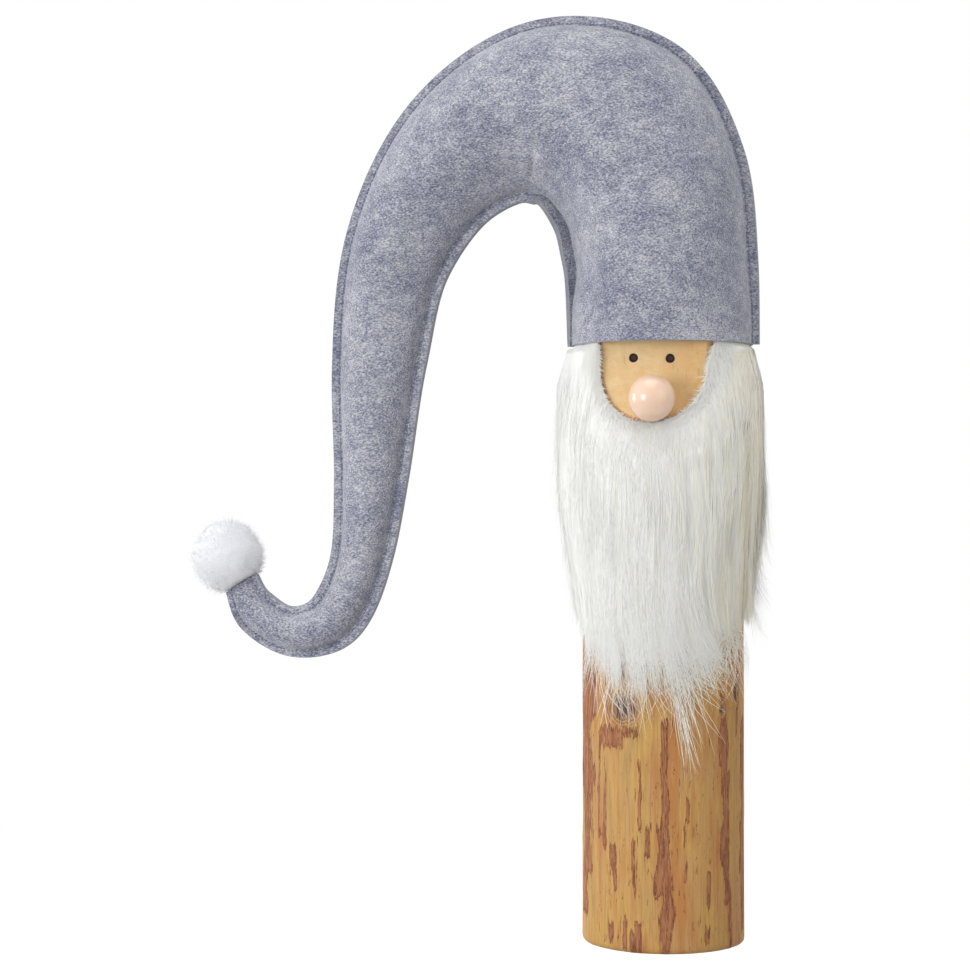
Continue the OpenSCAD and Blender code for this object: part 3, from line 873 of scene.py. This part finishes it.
def fur_depth(p, z):
    """How far the beard stands off the backing at an angle in degrees and a height."""
    full = 10.3 - (1.8 + 2.4 * smooth(250, 205, z)) * smooth(40, 95, p)
    full = full + (0.8 + 1.2 * smooth(225, 285, z)) * smooth(-45, -80, p)
    start = 3.6 + 2.8 * smooth(20, -70, p)
    top = start + (full - start) * smooth(-2, 26, BRIM_Z - z)
    top = 0.3 + (top - 0.3) * smooth(-0.3, 3.0, BRIM_Z - z)
    end = 0.16 + 0.84 * smooth(-6, 74, z - beard_end(p))
    side = 0.35 + 0.65 * smooth(0, 16, BACK_HALF + 4 - np.abs(p))
    near = 0.14 + 0.86 * smooth(-4, 24, face_gap(p, z) + 12 * smooth(55, 88, np.abs(p)))
    part = 1.0
    for a, high, low, wide, deep in PARTINGS:
        bend = 0.07 * (high - z) + 2.5 * noise(z / 24.0, a, 0, 74)
        off = np.exp(-((p - a - bend) / wide) ** 2)
        part = part - deep * off * smooth(high, high - 25, z) * smooth(low - 12, low + 12, z)
    return top * end * side * near * part


def beard_end(p):
    """Height of the beard's lower edge round the log, lowest under the nose."""
    return np.interp(p, END_ANGLES, END_HEIGHTS) + 3 * noise(np.asarray(p) / 9, 2.0, 0, 61)


def under_depth(p, z):
    """How far the dense underfur stands off the backing."""
    gap = np.minimum(face_gap(p, z), BRIM_Z + 4 - z)
    return fur_depth(p, z) * (0.16 + 0.50 * smooth(0, 6, gap) + 0.26 * smooth(2, 20, gap))


def grow_fur():
    """Every strand of the beard: its path, thickness, shade and angle round the log."""
    total, locks, batch = 60000, 300, 4000
    hair = Draws(7, int(total * 2.2))
    p0 = hair.flat(-BACK_HALF, BACK_HALF)
    z0 = BACK_LOW + (FUR_TOP - BACK_LOW) * hair.flat() ** 0.88
    # a dense row along the brim and round the face
    row = hair.flat() < 0.17
    edge = face_edge(p0)
    edge = np.where(np.abs(p0) < 90, np.minimum(edge, FUR_TOP), FUR_TOP)
    z0 = np.where(row, edge - hair.tail(3.0), z0)
    # and along the opening's upright sides
    beside = hair.flat() < 0.035
    upright = math.degrees(math.asin(CUT_R / BACK_OUT)) + hair.tail(2.2)
    p0 = np.where(beside, upright * hair.sign(), p0)
    z0 = np.where(beside, hair.flat(CUT_Z - 12, BRIM_Z + 2), z0)
    bare = (z0 > face_edge(p0)) & (np.abs(p0) < 90)
    p0, z0 = (v[~bare][:total, None] for v in (p0, z0))
    # locks: every strand leans to the guide of its lock
    lock = Draws(hair.rng, locks)
    lock_p, lock_z, swing, lock_long = (v[:, 0] for v in (
        lock.flat(-BACK_HALF - 3, BACK_HALF + 3), lock.flat(BACK_LOW - 4, BRIM_Z),
        lock.bell(2.6), lock.bell(6.0)))
    hair.n = len(p0)
    best = np.concatenate([
        (((p0[a:a + batch] - lock_p) * DEGREE * 1.7) ** 2
         + ((z0[a:a + batch] - lock_z) * 0.5) ** 2).argmin(1)
        for a in range(0, hair.n, batch)])[:, None]
    own_p = lock_p[best]
    long = hair.bell(6, 64) + lock_long[best]
    long = long + 20 * np.exp(-((p0 - 4) / 24) ** 2) * smooth(270, 215, z0)
    # strands that start low end near the beard's lower edge, thinning out towards it
    limit = beard_end(p0) + hair.tail(8.0) - 7 + 0.8 * lock_long[best]
    long = np.where(z0 - long < limit, np.maximum(z0 - limit, 18), long)
    t = np.array([0, 0.06, 0.14, 0.27, 0.45, 0.65, 0.84, 1.0])
    z = z0 - long * t ** 1.05
    # the hair sweeps to the right low down, and inwards on the left
    sweep = 5.0 * smooth(0, 60, p0) + 3.5 * smooth(-30, -80, p0)
    sweep = sweep * smooth(275, 215, z0) * smooth(130, 100, np.abs(p0))
    drift = swing[best] + hair.bell(1.9) + 3.2 * noise(p0 / 24, z0 / 60, 0, 62)
    held = smooth(-1, 9, face_gap(p0, z0))
    arc = p0 * DEGREE + (drift * held + sweep) * t ** 1.6
    arc = arc + (own_p - p0) * DEGREE * 0.5 * held * smooth(0, 1, t)
    # the ends right of the middle turn to the right
    turn = 13 * np.exp(-((p0 - 22) / 22) ** 2) * hair.flat(0.3, 1.3)
    arc = arc + turn * smooth(200, 150, z) * t ** 2
    # a lock's own soft wave, and each strand's small crimp
    arc = arc + 1.7 * noise(z / 30.0, own_p / 3.0, 0, 63) * smooth(0, 0.5, t)
    arc = arc + 0.7 * noise(z / 8.0, p0 * 3.1, 0, 69) * smooth(0, 0.3, t)
    p = arc / DEGREE
    layer = 1.02 - (0.03 + 0.07 * smooth(-50, 30, p0)) * hair.flat()
    puff = 1 + (0.02 + 0.05 * smooth(-20, 60, p0)) * noise(own_p / 7, lock_z[best] / 9, 0, 64)
    rise = hair.flat(0.06, 0.16) * (0.35 + 0.65 * smooth(0, 8, face_gap(p0, z0)))
    r = BACK_OUT - 0.4 + fur_depth(p, z) * smooth(-0.02, 1, t / rise) * (layer * puff)
    r = r + 0.25 * noise(z / 11.0, p0 * 1.7, 0, 70) * smooth(0.1, 0.5, t)
    # loose hairs stand off, most at the sides
    flank = smooth(55, 95, np.abs(p0)) * smooth(315, 270, z0)
    loose = hair.flat() < 0.03 + 0.09 * flank
    loose = loose * np.abs(hair.bell(2.4)) * (0.7 + 1.1 * flank * (p0 > 0))
    # on the right whole locks spread away from the beard
    spread = (lock.flat(3.0, 11.0) * (lock.flat() < 0.5))[best, 0]
    loose = loose + spread * flank * (p0 > 0) * hair.flat(0.2, 1.0)
    r = np.maximum(r + loose * smooth(117, 100, np.abs(p0)) * t ** 2, BACK_OUT - 0.5)
    radii = hair.flat(0.08, 0.13) * [0.8, 1.0, 1.0, 1.0, 0.95, 0.8, 0.5, 0.15]
    # painted light and shade: strands on the left, towards the lamps, keep to the white tones;
    # those on the right, away from them, take the shade and warm tones more often, and whole locks
    # there are toned lighter or darker at random as painted shade between the locks
    lit_left = smooth(5, -40, p0)
    pick = hair.flat() * (1 - 0.6 * lit_left) + 0.12 * lit_left - 0.70 * smooth(5, 75, p0)
    pick = pick - 0.5 * (hash01(best, np.int64(9)) - 0.5) * smooth(0, 35, p0)
    tone = sum((pick <= level).astype(int) for level in (0.40, 0.10, -0.35))
    return around(p, r, z), radii, tone[:, 0], p0[:, 0]


def pile_normals(points, wobble=0.0):
    """Light scatters round in deep pile: the hairs at the sides face forward a little."""
    turn = np.arctan2(points[..., 0], -points[..., 1])
    turn = turn * (0.36 + 0.64 * smooth(0.85, 1.7, np.abs(turn))) + wobble
    return np.stack([np.sin(turn), -np.cos(turn), 0 * turn], -1)


def add_strands(name, paths, radii, tone, materials, outward):
    """One mesh of many flattened strands that shade like the pile's own surface."""
    sides = 3
    verts, faces, spokes = tubes(paths, radii, sides, 71, outward)
    slots = np.concatenate([np.repeat(tone, (radii.shape[1] - 1) * sides), tone, tone])
    obj = new_mesh(name, verts, faces, materials, rest=False, slots=slots)
    soft = np.repeat(outward[:, :, None], sides, 2).reshape(-1, 3)
    facing = (soft * spokes).sum(1, keepdims=True) > -0.3
    set_normals(obj, unit(0.8 * soft * facing + 0.5 * spokes))
    return obj


def add_hair(name, hair, paths, thick, profile, shares, mats, outward=None):
    """More of the beard's pile: thickness, how it tapers, and each shade's share."""
    hair.n = len(paths)
    radii = hair.flat(*thick) * profile
    tone = hair.rng.choice(4, hair.n, p=shares)
    outward = pile_normals(paths) if outward is None else outward
    stands_for(add_strands(name, paths, radii, tone, mats, outward), "beard_pile")


def round_face(side, a, radius, wide, up):
    """Points beside the upright sides of the face's opening, or round its lower arch."""
    return (np.where(side, wide, radius * np.cos(a)),
            CUT_Z + np.where(side, up, radius * np.sin(a)))


def build_fringe(mats):
    """Short ragged hairs round the opening for the face, lying down over its edge."""
    hair = Draws(5, 9500)
    a, side = hair.flat(-math.pi, 0), hair.flat() < 0.30
    up = hair.flat(0, BRIM_Z - CUT_Z - 0.5)
    left = hair.flat() < 0.5
    back = hair.flat() ** 1.3 * 4.0
    r0 = CUT_R + 0.1 + back
    x, z = round_face(side, a, r0, np.where(left, -r0, r0 - CUT_R + jamb(1, CUT_Z + up)), up)
    long = np.abs(hair.bell(1.3, 3.8)) + 1.0
    t = np.array([0, 0.3, 0.65, 1.0])
    # most lie downwards, those at the very edge lean over it
    rim = back < 0.8
    lean = hair.bell(0.20, 0.10) + 0.30 * rim * hair.flat()
    across = np.where(side, -np.sign(x), -np.cos(a)) * lean + hair.bell(0.12)
    down = np.where(side, 0, -np.sin(a)) * lean - 0.85 * (1 - 0.6 * rim)
    pile = fur_depth(np.degrees(np.arcsin(x / BACK_OUT)), z)
    root = np.sqrt(BACK_OUT ** 2 - x ** 2) + pile * hair.flat(0.4, 1.0)
    paths = np.stack([x + across * long * t, -(root + (0.4 + 0.18 * long) * np.sin(t * 2.0)),
                      z + down * long * t], -1)
    add_hair("face_edge_fringe", hair, paths, (0.08, 0.12), [1, 1, 0.8, 0.25],
             [0.65, 0.27, 0.06, 0.02], mats)


def build_collar(mats):
    """Soft hairs that start round the opening for the face and lie away from it."""
    hair = Draws(23, 7000)
    a, side = hair.flat(-math.pi, 0), hair.flat() < 0.28
    up = hair.flat(-3, BRIM_Z - CUT_Z + 2)
    sign = hair.sign()
    back = 0.1 + 6.0 * hair.flat() ** 1.5
    x0, z0 = round_face(side, a, CUT_R + back, sign * (jamb(sign, CUT_Z + up) + back), up)
    long = hair.flat(7, 15)
    t = np.array([0, 0.12, 0.35, 0.65, 1.0])
    away = np.where(side, sign * 0.22, 0.45 * np.cos(a)) + hair.bell(0.10)
    z = z0 - long * t
    p = np.degrees(np.arcsin(x0 / BACK_OUT)) + away * long * t ** 1.2 / DEGREE
    low = under_depth(p, z)
    high = low + (0.96 * fur_depth(p, z) - low) * hair.flat(0.1, 1.0)
    r = BACK_OUT + low * 0.6 + (high + 0.15 - low * 0.6) * smooth(-0.02, 0.4, t)
    add_hair("face_collar_fur", hair, around(p, r, z), (0.08, 0.13), [0.8, 1, 1, 0.8, 0.25],
             [0.55, 0.37, 0.06, 0.02], mats)


# wisps over the wood: from (angle, height) to (angle, height), spread, hairs, how curly
WISPS = [(-22, 152, -20, 124, 7.0, 70, 0.8), (17, 142, 31, 98, 1.3, 30, 0.5),
         (22, 148, 34, 108, 0.7, 10, 0.5), (24, 148, 44, 103, 1.2, 14, 0.8),
         (-42, 172, -52, 140, 4.5, 60, 0.8), (-3, 152, 6, 122, 6.0, 36, 1.2),
         (32, 158, 46, 142, 5.0, 50, 1.8), (56, 176, 58, 150, 8.0, 100, 3.2),
         (64, 172, 66, 142, 4.5, 50, 3.2), (44, 166, 38, 148, 8.0, 70, 3.0),
         (22, 156, 27, 136, 6.0, 60, 1.6)]
# tufts at both sides: degrees round the log, height, height's spread, how far out, hairs
TUFTS = [(98, 300, 7, 3.5, 60), (98, 268, 7, 6.0, 80), (97, 240, 6, 9.5, 90),
         (95, 213, 5, 12.0, 90), (94, 196, 4, 9.5, 60), (-74, 318, 5, 4.0, 90),
         (-75, 294, 8, 5.0, 110), (-74, 262, 9, 3.2, 70), (-73, 226, 9, 3.0, 60)]
# how far along each hair of a wisp or tuft
HAIR_T = np.linspace(0, 1, 9)


def build_wisps(mats):
    """Sparse hairs that hang on past the beard and lie over the wood."""
    hair, t, found = Draws(17), HAIR_T, []
    hump = np.sin(math.pi * t)
    for p0, z0, p1, z1, spread, count, curl in WISPS:
        hair.n = count
        off, end, lean = hair.bell(spread), hair.flat(0.45, 1.05), hair.bell(2.5 + 5 * curl)
        arc = p0 * DEGREE + (p1 - p0) * DEGREE * (t * end) + off * (1 - 0.45 * t)
        arc = arc + lean * t ** 1.5 + curl * hair.bell(1.6) * hump
        z = z0 + hair.flat(-9, 7) + (z1 - z0) * t * end + curl * hair.bell(2.5) * t ** 2
        p = arc / DEGREE
        r = BACK_OUT - 0.9 + fur_depth(p, z) * hair.flat(0.2, 1.0) * smooth(0, 0.3, t)
        found.append(around(p, r + hair.flat(0, 0.9) * hump, z))
    add_hair("beard_wisps", hair, np.concatenate(found), (0.07, 0.12),
             [0.9, 1, 1, 1, 1, 0.9, 0.75, 0.5, 0.2], [0.25, 0.15, 0.2, 0.4], mats)


def build_tufts(mats):
    """Light hairs at both sides of the beard, whose ends stand away from it."""
    hair, t, found = Draws(29), HAIR_T, []
    for p0, z0, spread, out, count in TUFTS:
        hair.n = count
        p = p0 + hair.bell(5) + hair.bell(2.0) * t / DEGREE
        root = z0 + hair.bell(spread)
        z = root - hair.flat(17, 32) * t
        base = np.minimum(fur_depth(p0, root), fur_depth(p0, z) + 2.5)
        r = BACK_OUT + base * hair.flat(0.75, 1.0) * smooth(-0.2, 0.25, t)
        found.append(around(p, r + out * hair.flat(0.15, 1.1) * t ** 1.7, z))
    paths = np.concatenate(found)
    # they face up and forward, to the light
    lean = unit(0.8 * unit(paths * [1, 1, 0]) + [0, -0.70, 0.5])
    add_hair("beard_tufts", hair, paths, (0.06, 0.10),
             [0.7, 1, 1, 1, 0.95, 0.85, 0.7, 0.5, 0.2], [0.7, 0.25, 0.05, 0], mats, lean)


def build_underfur():
    """Dense underfur that fills the beard under its long strands, in soft upright locks."""
    p = np.linspace(1 - BACK_HALF, BACK_HALF - 1, 420)
    edge = face_edge(p) - 0.3
    top = np.minimum(np.where(np.abs(p) < 90, edge, BRIM_Z), BRIM_Z - 0.5)
    low = beard_end(p) + 24 + 7 * noise(p / 2.2, 5.0, 0, 66)
    t = np.linspace(0, 1, 150)[:, None]
    z = low + (top - low) * t
    wander = p + 2.5 * noise(p / 14, z / 40, 0, 67)
    d = under_depth(p, z) * smooth(-0.01, 0.34, t)
    d = d * (1 + 0.03 * noise(wander / 5.5, z / 48, 0, 65)) + 0.2
    d = np.maximum(d + 0.10 * noise(wander / 1.7, z / 30, 0, 68), 0.12)
    grids, faces, border = shell(p, BACK_OUT + d, BACK_OUT + 0.05, z)
    wool = mottled("underfur", (244, 244, 240), (253, 253, 251),
                   (1.5, 4.0, 0.6, 0, (1, 1, 0.05)), (0.0003, 0.5), Roughness=0.8, Sheen_Weight=0.2)
    under = new_mesh("beard_underfur", grids, faces, wool, 60)
    q = np.concatenate([pile_normals(g.reshape(-1, 3)) * s for g, s in zip(grids, (1, -1))])
    q[np.concatenate([border, border + z.size])] = 0
    set_normals(under, q)
    stands_for(under, "beard_pile")


def build_beard():
    # the shade and warm tones are darker, warmer copies of the white; on the beard's right side
    # they stand for painted shade
    mats = [plain("fur_" + name, rgb, rough, Specular_IOR_Level=0.25, Sheen_Weight=0.5,
                  Sheen_Roughness=0.45)
            for name, rgb, rough in (("white", (248, 248, 244), 0.6),
                                     ("cool", (246, 247, 244), 0.6),
                                     ("shade", (245, 242, 227), 0.65),
                                     ("warm", (247, 239, 218), 0.65))]
    paths, radii, tone, p0 = grow_fur()
    for c, ids in enumerate(np.array_split(np.argsort(p0), 14)):
        wobble = (0.05 + 0.10 * smooth(-35, 25, p0[ids])) * (hash01(ids, np.int64(3)) - 0.5)
        fur = add_strands("beard_fur_%d" % (c + 1), paths[ids], radii[ids], tone[ids], mats,
                          pile_normals(paths[ids], wobble[:, None]))
        stands_for(fur, "beard_pile")
    for build in (build_fringe, build_collar, build_wisps, build_tufts):
        build(mats)
    build_underfur()


# ----------------------------------------------------------------- the pompom
def pompom_radius(d):
    """Size of the clipped ball in each direction, with its soft lumps."""
    return (20.2 + 0.9 * noise_at(d * 1.8 + [5, 0, 0], 81)
            + 0.6 * noise_at(d * [5, 6, 6] + [5, 0, 0], 82))


def press_flat(points, tip, direction, gap):
    """Press the yarn flat where it sits against the end of the felt."""
    along = (points - tip) @ direction
    return points + np.maximum(gap - along, 0)[..., None] * direction


def swing_soft(obj):
    """Bake the pompom piece's placement into its points."""
    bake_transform(obj)


def yarn_normals(d):
    """Light scatters through the yarn, so the side away from the lamps is not dark."""
    return unit(0.68 * d + [0.06, -0.32, 0.30])


def build_pompom():
    mid, across = station(float(LAST))[:2]
    tip, direction = mid, np.array([-across[2], 0, across[0]])
    centre = tip + direction * POM_SEAT
    n = 9000
    yarn = Draws(11, n)
    k = np.arange(n) + 0.5
    up = 1 - 2 * k / n
    turn = math.pi * (1 + 5 ** 0.5) * k
    flat = np.sqrt(1 - up ** 2)
    d = np.stack([flat * np.cos(turn), flat * np.sin(turn), up], -1)
    d = unit(d + yarn.rng.normal(0, 0.03, d.shape))
    lean = yarn.rng.normal(0, 0.5, d.shape)
    length = pompom_radius(d)[:, None] + np.abs(yarn.bell(0.55)) + 0.1
    length = length + (yarn.flat() < 0.08) * yarn.flat(0.3, 1.6)
    t = np.linspace(0, 1, 3)
    base = 17.0
    r = base + (length - base) * t
    paths = centre + d[:, None] * r[..., None] + lean[:, None] * (2.2 * t ** 2)[:, None]
    paths = press_flat(paths, tip, direction, 0.5)
    radii = yarn.flat(0.09, 0.14) * [1.0, 1.0, 0.5]
    mats = [plain("pompom_white", (239, 239, 243), 0.7, Sheen_Weight=0.6),
            plain("pompom_cool", (235, 236, 241), 0.7, Sheen_Weight=0.6)]
    tone = yarn.rng.choice(2, n, p=[0.65, 0.35])
    tufts = add_strands("pompom_yarn", paths, radii, tone, mats,
                        np.repeat(yarn_normals(d)[:, None], 3, 1))
    stands_for(tufts, "pompom", None)
    swing_soft(tufts)
    # bound heart of the pompom
    m, q = 96, 144
    dirs = ball(math.pi * (np.arange(m) + 0.5) / m, q)
    rr = pompom_radius(dirs) - 0.6 + 0.5 * noise_at(dirs * 13, 83)
    verts = press_flat(centre + dirs * rr[..., None], tip, direction, 0.8)
    wool = mottled("pompom_heart", (226, 227, 232), (236, 236, 240), (0.9, 4.0, 0.7),
                   (0.0006, 0.6), Roughness=0.9, Sheen_Weight=0.6,
                   Subsurface_Weight=1.0, Subsurface_Scale=0.018, Subsurface_Radius=(1, 1, 1))
    heart = new_mesh("pompom_heart", verts, closed_faces(m, q, flip=True), wool, 60)
    set_normals(heart, yarn_normals(dirs))
    swing_soft(heart)
    stands_for(heart, "pompom", None)
    # twisted yarn tie with its knot inside the tip
    s = np.linspace(-KNOT_IN, 8.0, 60)[:, None]
    side = np.array([direction[2], 0, -direction[0]])
    plies = [tip + s * direction + 0.42 * (np.cos(a) * side + np.sin(a) * [0, 1, 0])
             for a in (s * 2.1 + k * 2 * math.pi / 3 for k in range(3))]
    verts, faces, _ = tubes(np.array(plies), np.full((3, 60), 0.40), 6, 91)
    a = np.linspace(0, 2 * math.pi, 49)
    wide = 1.35 + 0.45 * np.cos(3 * a)
    knot = tip - direction * KNOT_IN + np.stack(
        [wide * np.cos(2 * a), 0.9 * np.sin(3 * a), wide * np.sin(2 * a)], -1)
    knot_verts, knot_faces, _ = tubes(knot[None], np.full((1, 49), 0.45), 6, 92)
    tied = mottled("tie_yarn", (222, 222, 226), (242, 242, 245), (1.5, 3.0),
                   (0.0002, 0.6), Roughness=0.8)
    tie = new_mesh("pompom_tie_yarn", np.concatenate([verts, knot_verts]),
                   faces + [f + len(verts) for f in knot_faces], tied)
    stands_for(tie, "pompom_tie", "pompom")


# --------------------------------------------------- the node that stays plain
def dress_dowel():
    nodes = Nodes("dowel_beech", Roughness=0.6)
    at = nodes.node("TexCoord").outputs["Object"]
    grain = nodes.node("TexNoise", {"Vector": at, "Scale": 900.0, "Detail": 3.0})
    beech = nodes.finish(nodes.mix(grain.outputs["Fac"], (206, 170, 120), (184, 142, 92)))
    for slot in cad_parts["nose_dowel"].material_slots:
        slot.material = beech


# --------------------------------------------------------------------- studio
# camera: turned from the object's front, degrees; left of the log, off and up, mm;
# lens over picture width
CAMERA_TURN, CAMERA_LEFT, CAMERA_OFF, CAMERA_UP = 13.5, 98.7, 1282, 251
SENSOR, LENS_SHARE = 36, 2312 / 970
# what the lamps are aimed at, mm
AIM = (-100, 0, 280)
# azimuth, height over the aim and distance in metres, both sides, power
LAMPS = {"key": (CAMERA_TURN - 42, 0.12, 1.6, (0.5, 0.6), 9.3),
         "side": (CAMERA_TURN - 99, 0.10, 1.5, (0.45, 0.7), 6.4),
         "fill": (CAMERA_TURN + 50, 0.5, 2.4, (1.8, 1.8), 8.6),
         "top": (0, 1.9, 0.4, (1.6, 1.6), 15)}


def put(name, data, location, rotation):
    obj = bpy.data.objects.new(name, data)
    obj.location, obj.rotation_euler = location, rotation
    bpy.context.scene.collection.objects.link(obj)
    return obj


def build_studio():
    scene = bpy.context.scene
    turn = math.radians(CAMERA_TURN)
    c, s = math.cos(turn), math.sin(turn)
    cam = bpy.data.cameras.new("camera")
    cam.sensor_width, cam.lens = SENSOR, SENSOR * LENS_SHARE
    place = np.array([-CAMERA_LEFT * c + CAMERA_OFF * s, -CAMERA_LEFT * s - CAMERA_OFF * c,
                      CAMERA_UP]) * MM
    scene.camera = put("camera", cam, place, (math.pi / 2, 0, turn))

    world = bpy.data.worlds.new("studio")
    scene.world = world
    world.use_nodes = True
    sky = Nodes("", world.node_tree)
    sky.set(world.node_tree.nodes["Background"], {
        "Color": (1, 1, 1, 1), "Strength": sky.span(sky.seen(), 0, 1, 0.62, 1.0)})

    # pale floor: white to the camera where it is lit, darker where the figure shades it
    count, reach = 60, 9000.0
    g = np.linspace(-reach, reach, count)
    xx, yy = np.meshgrid(g, g)
    floor = Nodes("studio_floor", Roughness=0.9, Specular_IOR_Level=0.1)
    mottle = floor.noise(0.01)
    floor.finish(floor.mix(mottle, (0.50, 0.50, 0.50, 1), (0.53, 0.53, 0.53, 1)))
    lift, white = (floor.node("Emission", {"Color": (1, 1, 1, 1), "Strength": power}).outputs[0]
                   for power in (0.78, 1.0))
    lit = floor.bsdf.outputs[0]
    add = floor.node("AddShader", {0: lit, 1: lift}).outputs[0]
    out = floor.node("VectorMath", {0: floor.place((1, 1, 0))}, operation="LENGTH")
    far = floor.span(out.outputs["Value"], 240, 620)
    shown = floor.node("MixShader", {0: far, 1: add, 2: white}).outputs[0]
    pick = floor.node("MixShader", {0: floor.seen(), 1: lit, 2: shown}).outputs[0]
    floor.set(floor.tree.nodes["Material Output"], {"Surface": pick})
    verts = np.stack([xx, yy, 0 * xx - 0.02], -1)
    new_mesh("studio_floor", verts, [grid_faces(count, count)], floor.material)

    # soft boxes
    aim = np.array(AIM) * MM
    for name, (azimuth, height, distance, size, power) in LAMPS.items():
        a = math.radians(azimuth)
        away = np.array([math.sin(a) * distance, -math.cos(a) * distance, height])
        light = bpy.data.lights.new(name, "AREA")
        light.shape = "RECTANGLE"
        light.size, light.size_y = size
        light.energy = power
        put(name, light, aim + away, Vector(-away).to_track_quat("-Z", "Y").to_euler())
    scene.view_settings.view_transform = "Standard"


build_studio()
build_log()
build_nose()
build_eyes()
dress_dowel()
felt = felt_material()
build_stuffing()
build_felt(felt)
build_seams(mottled("seam_thread", (84, 90, 120), (132, 136, 158), (1.8,), (),
                    (0.35, 0.65), Roughness=0.6, Sheen_Weight=0.2))
build_backing()
build_beard()
build_pompom()

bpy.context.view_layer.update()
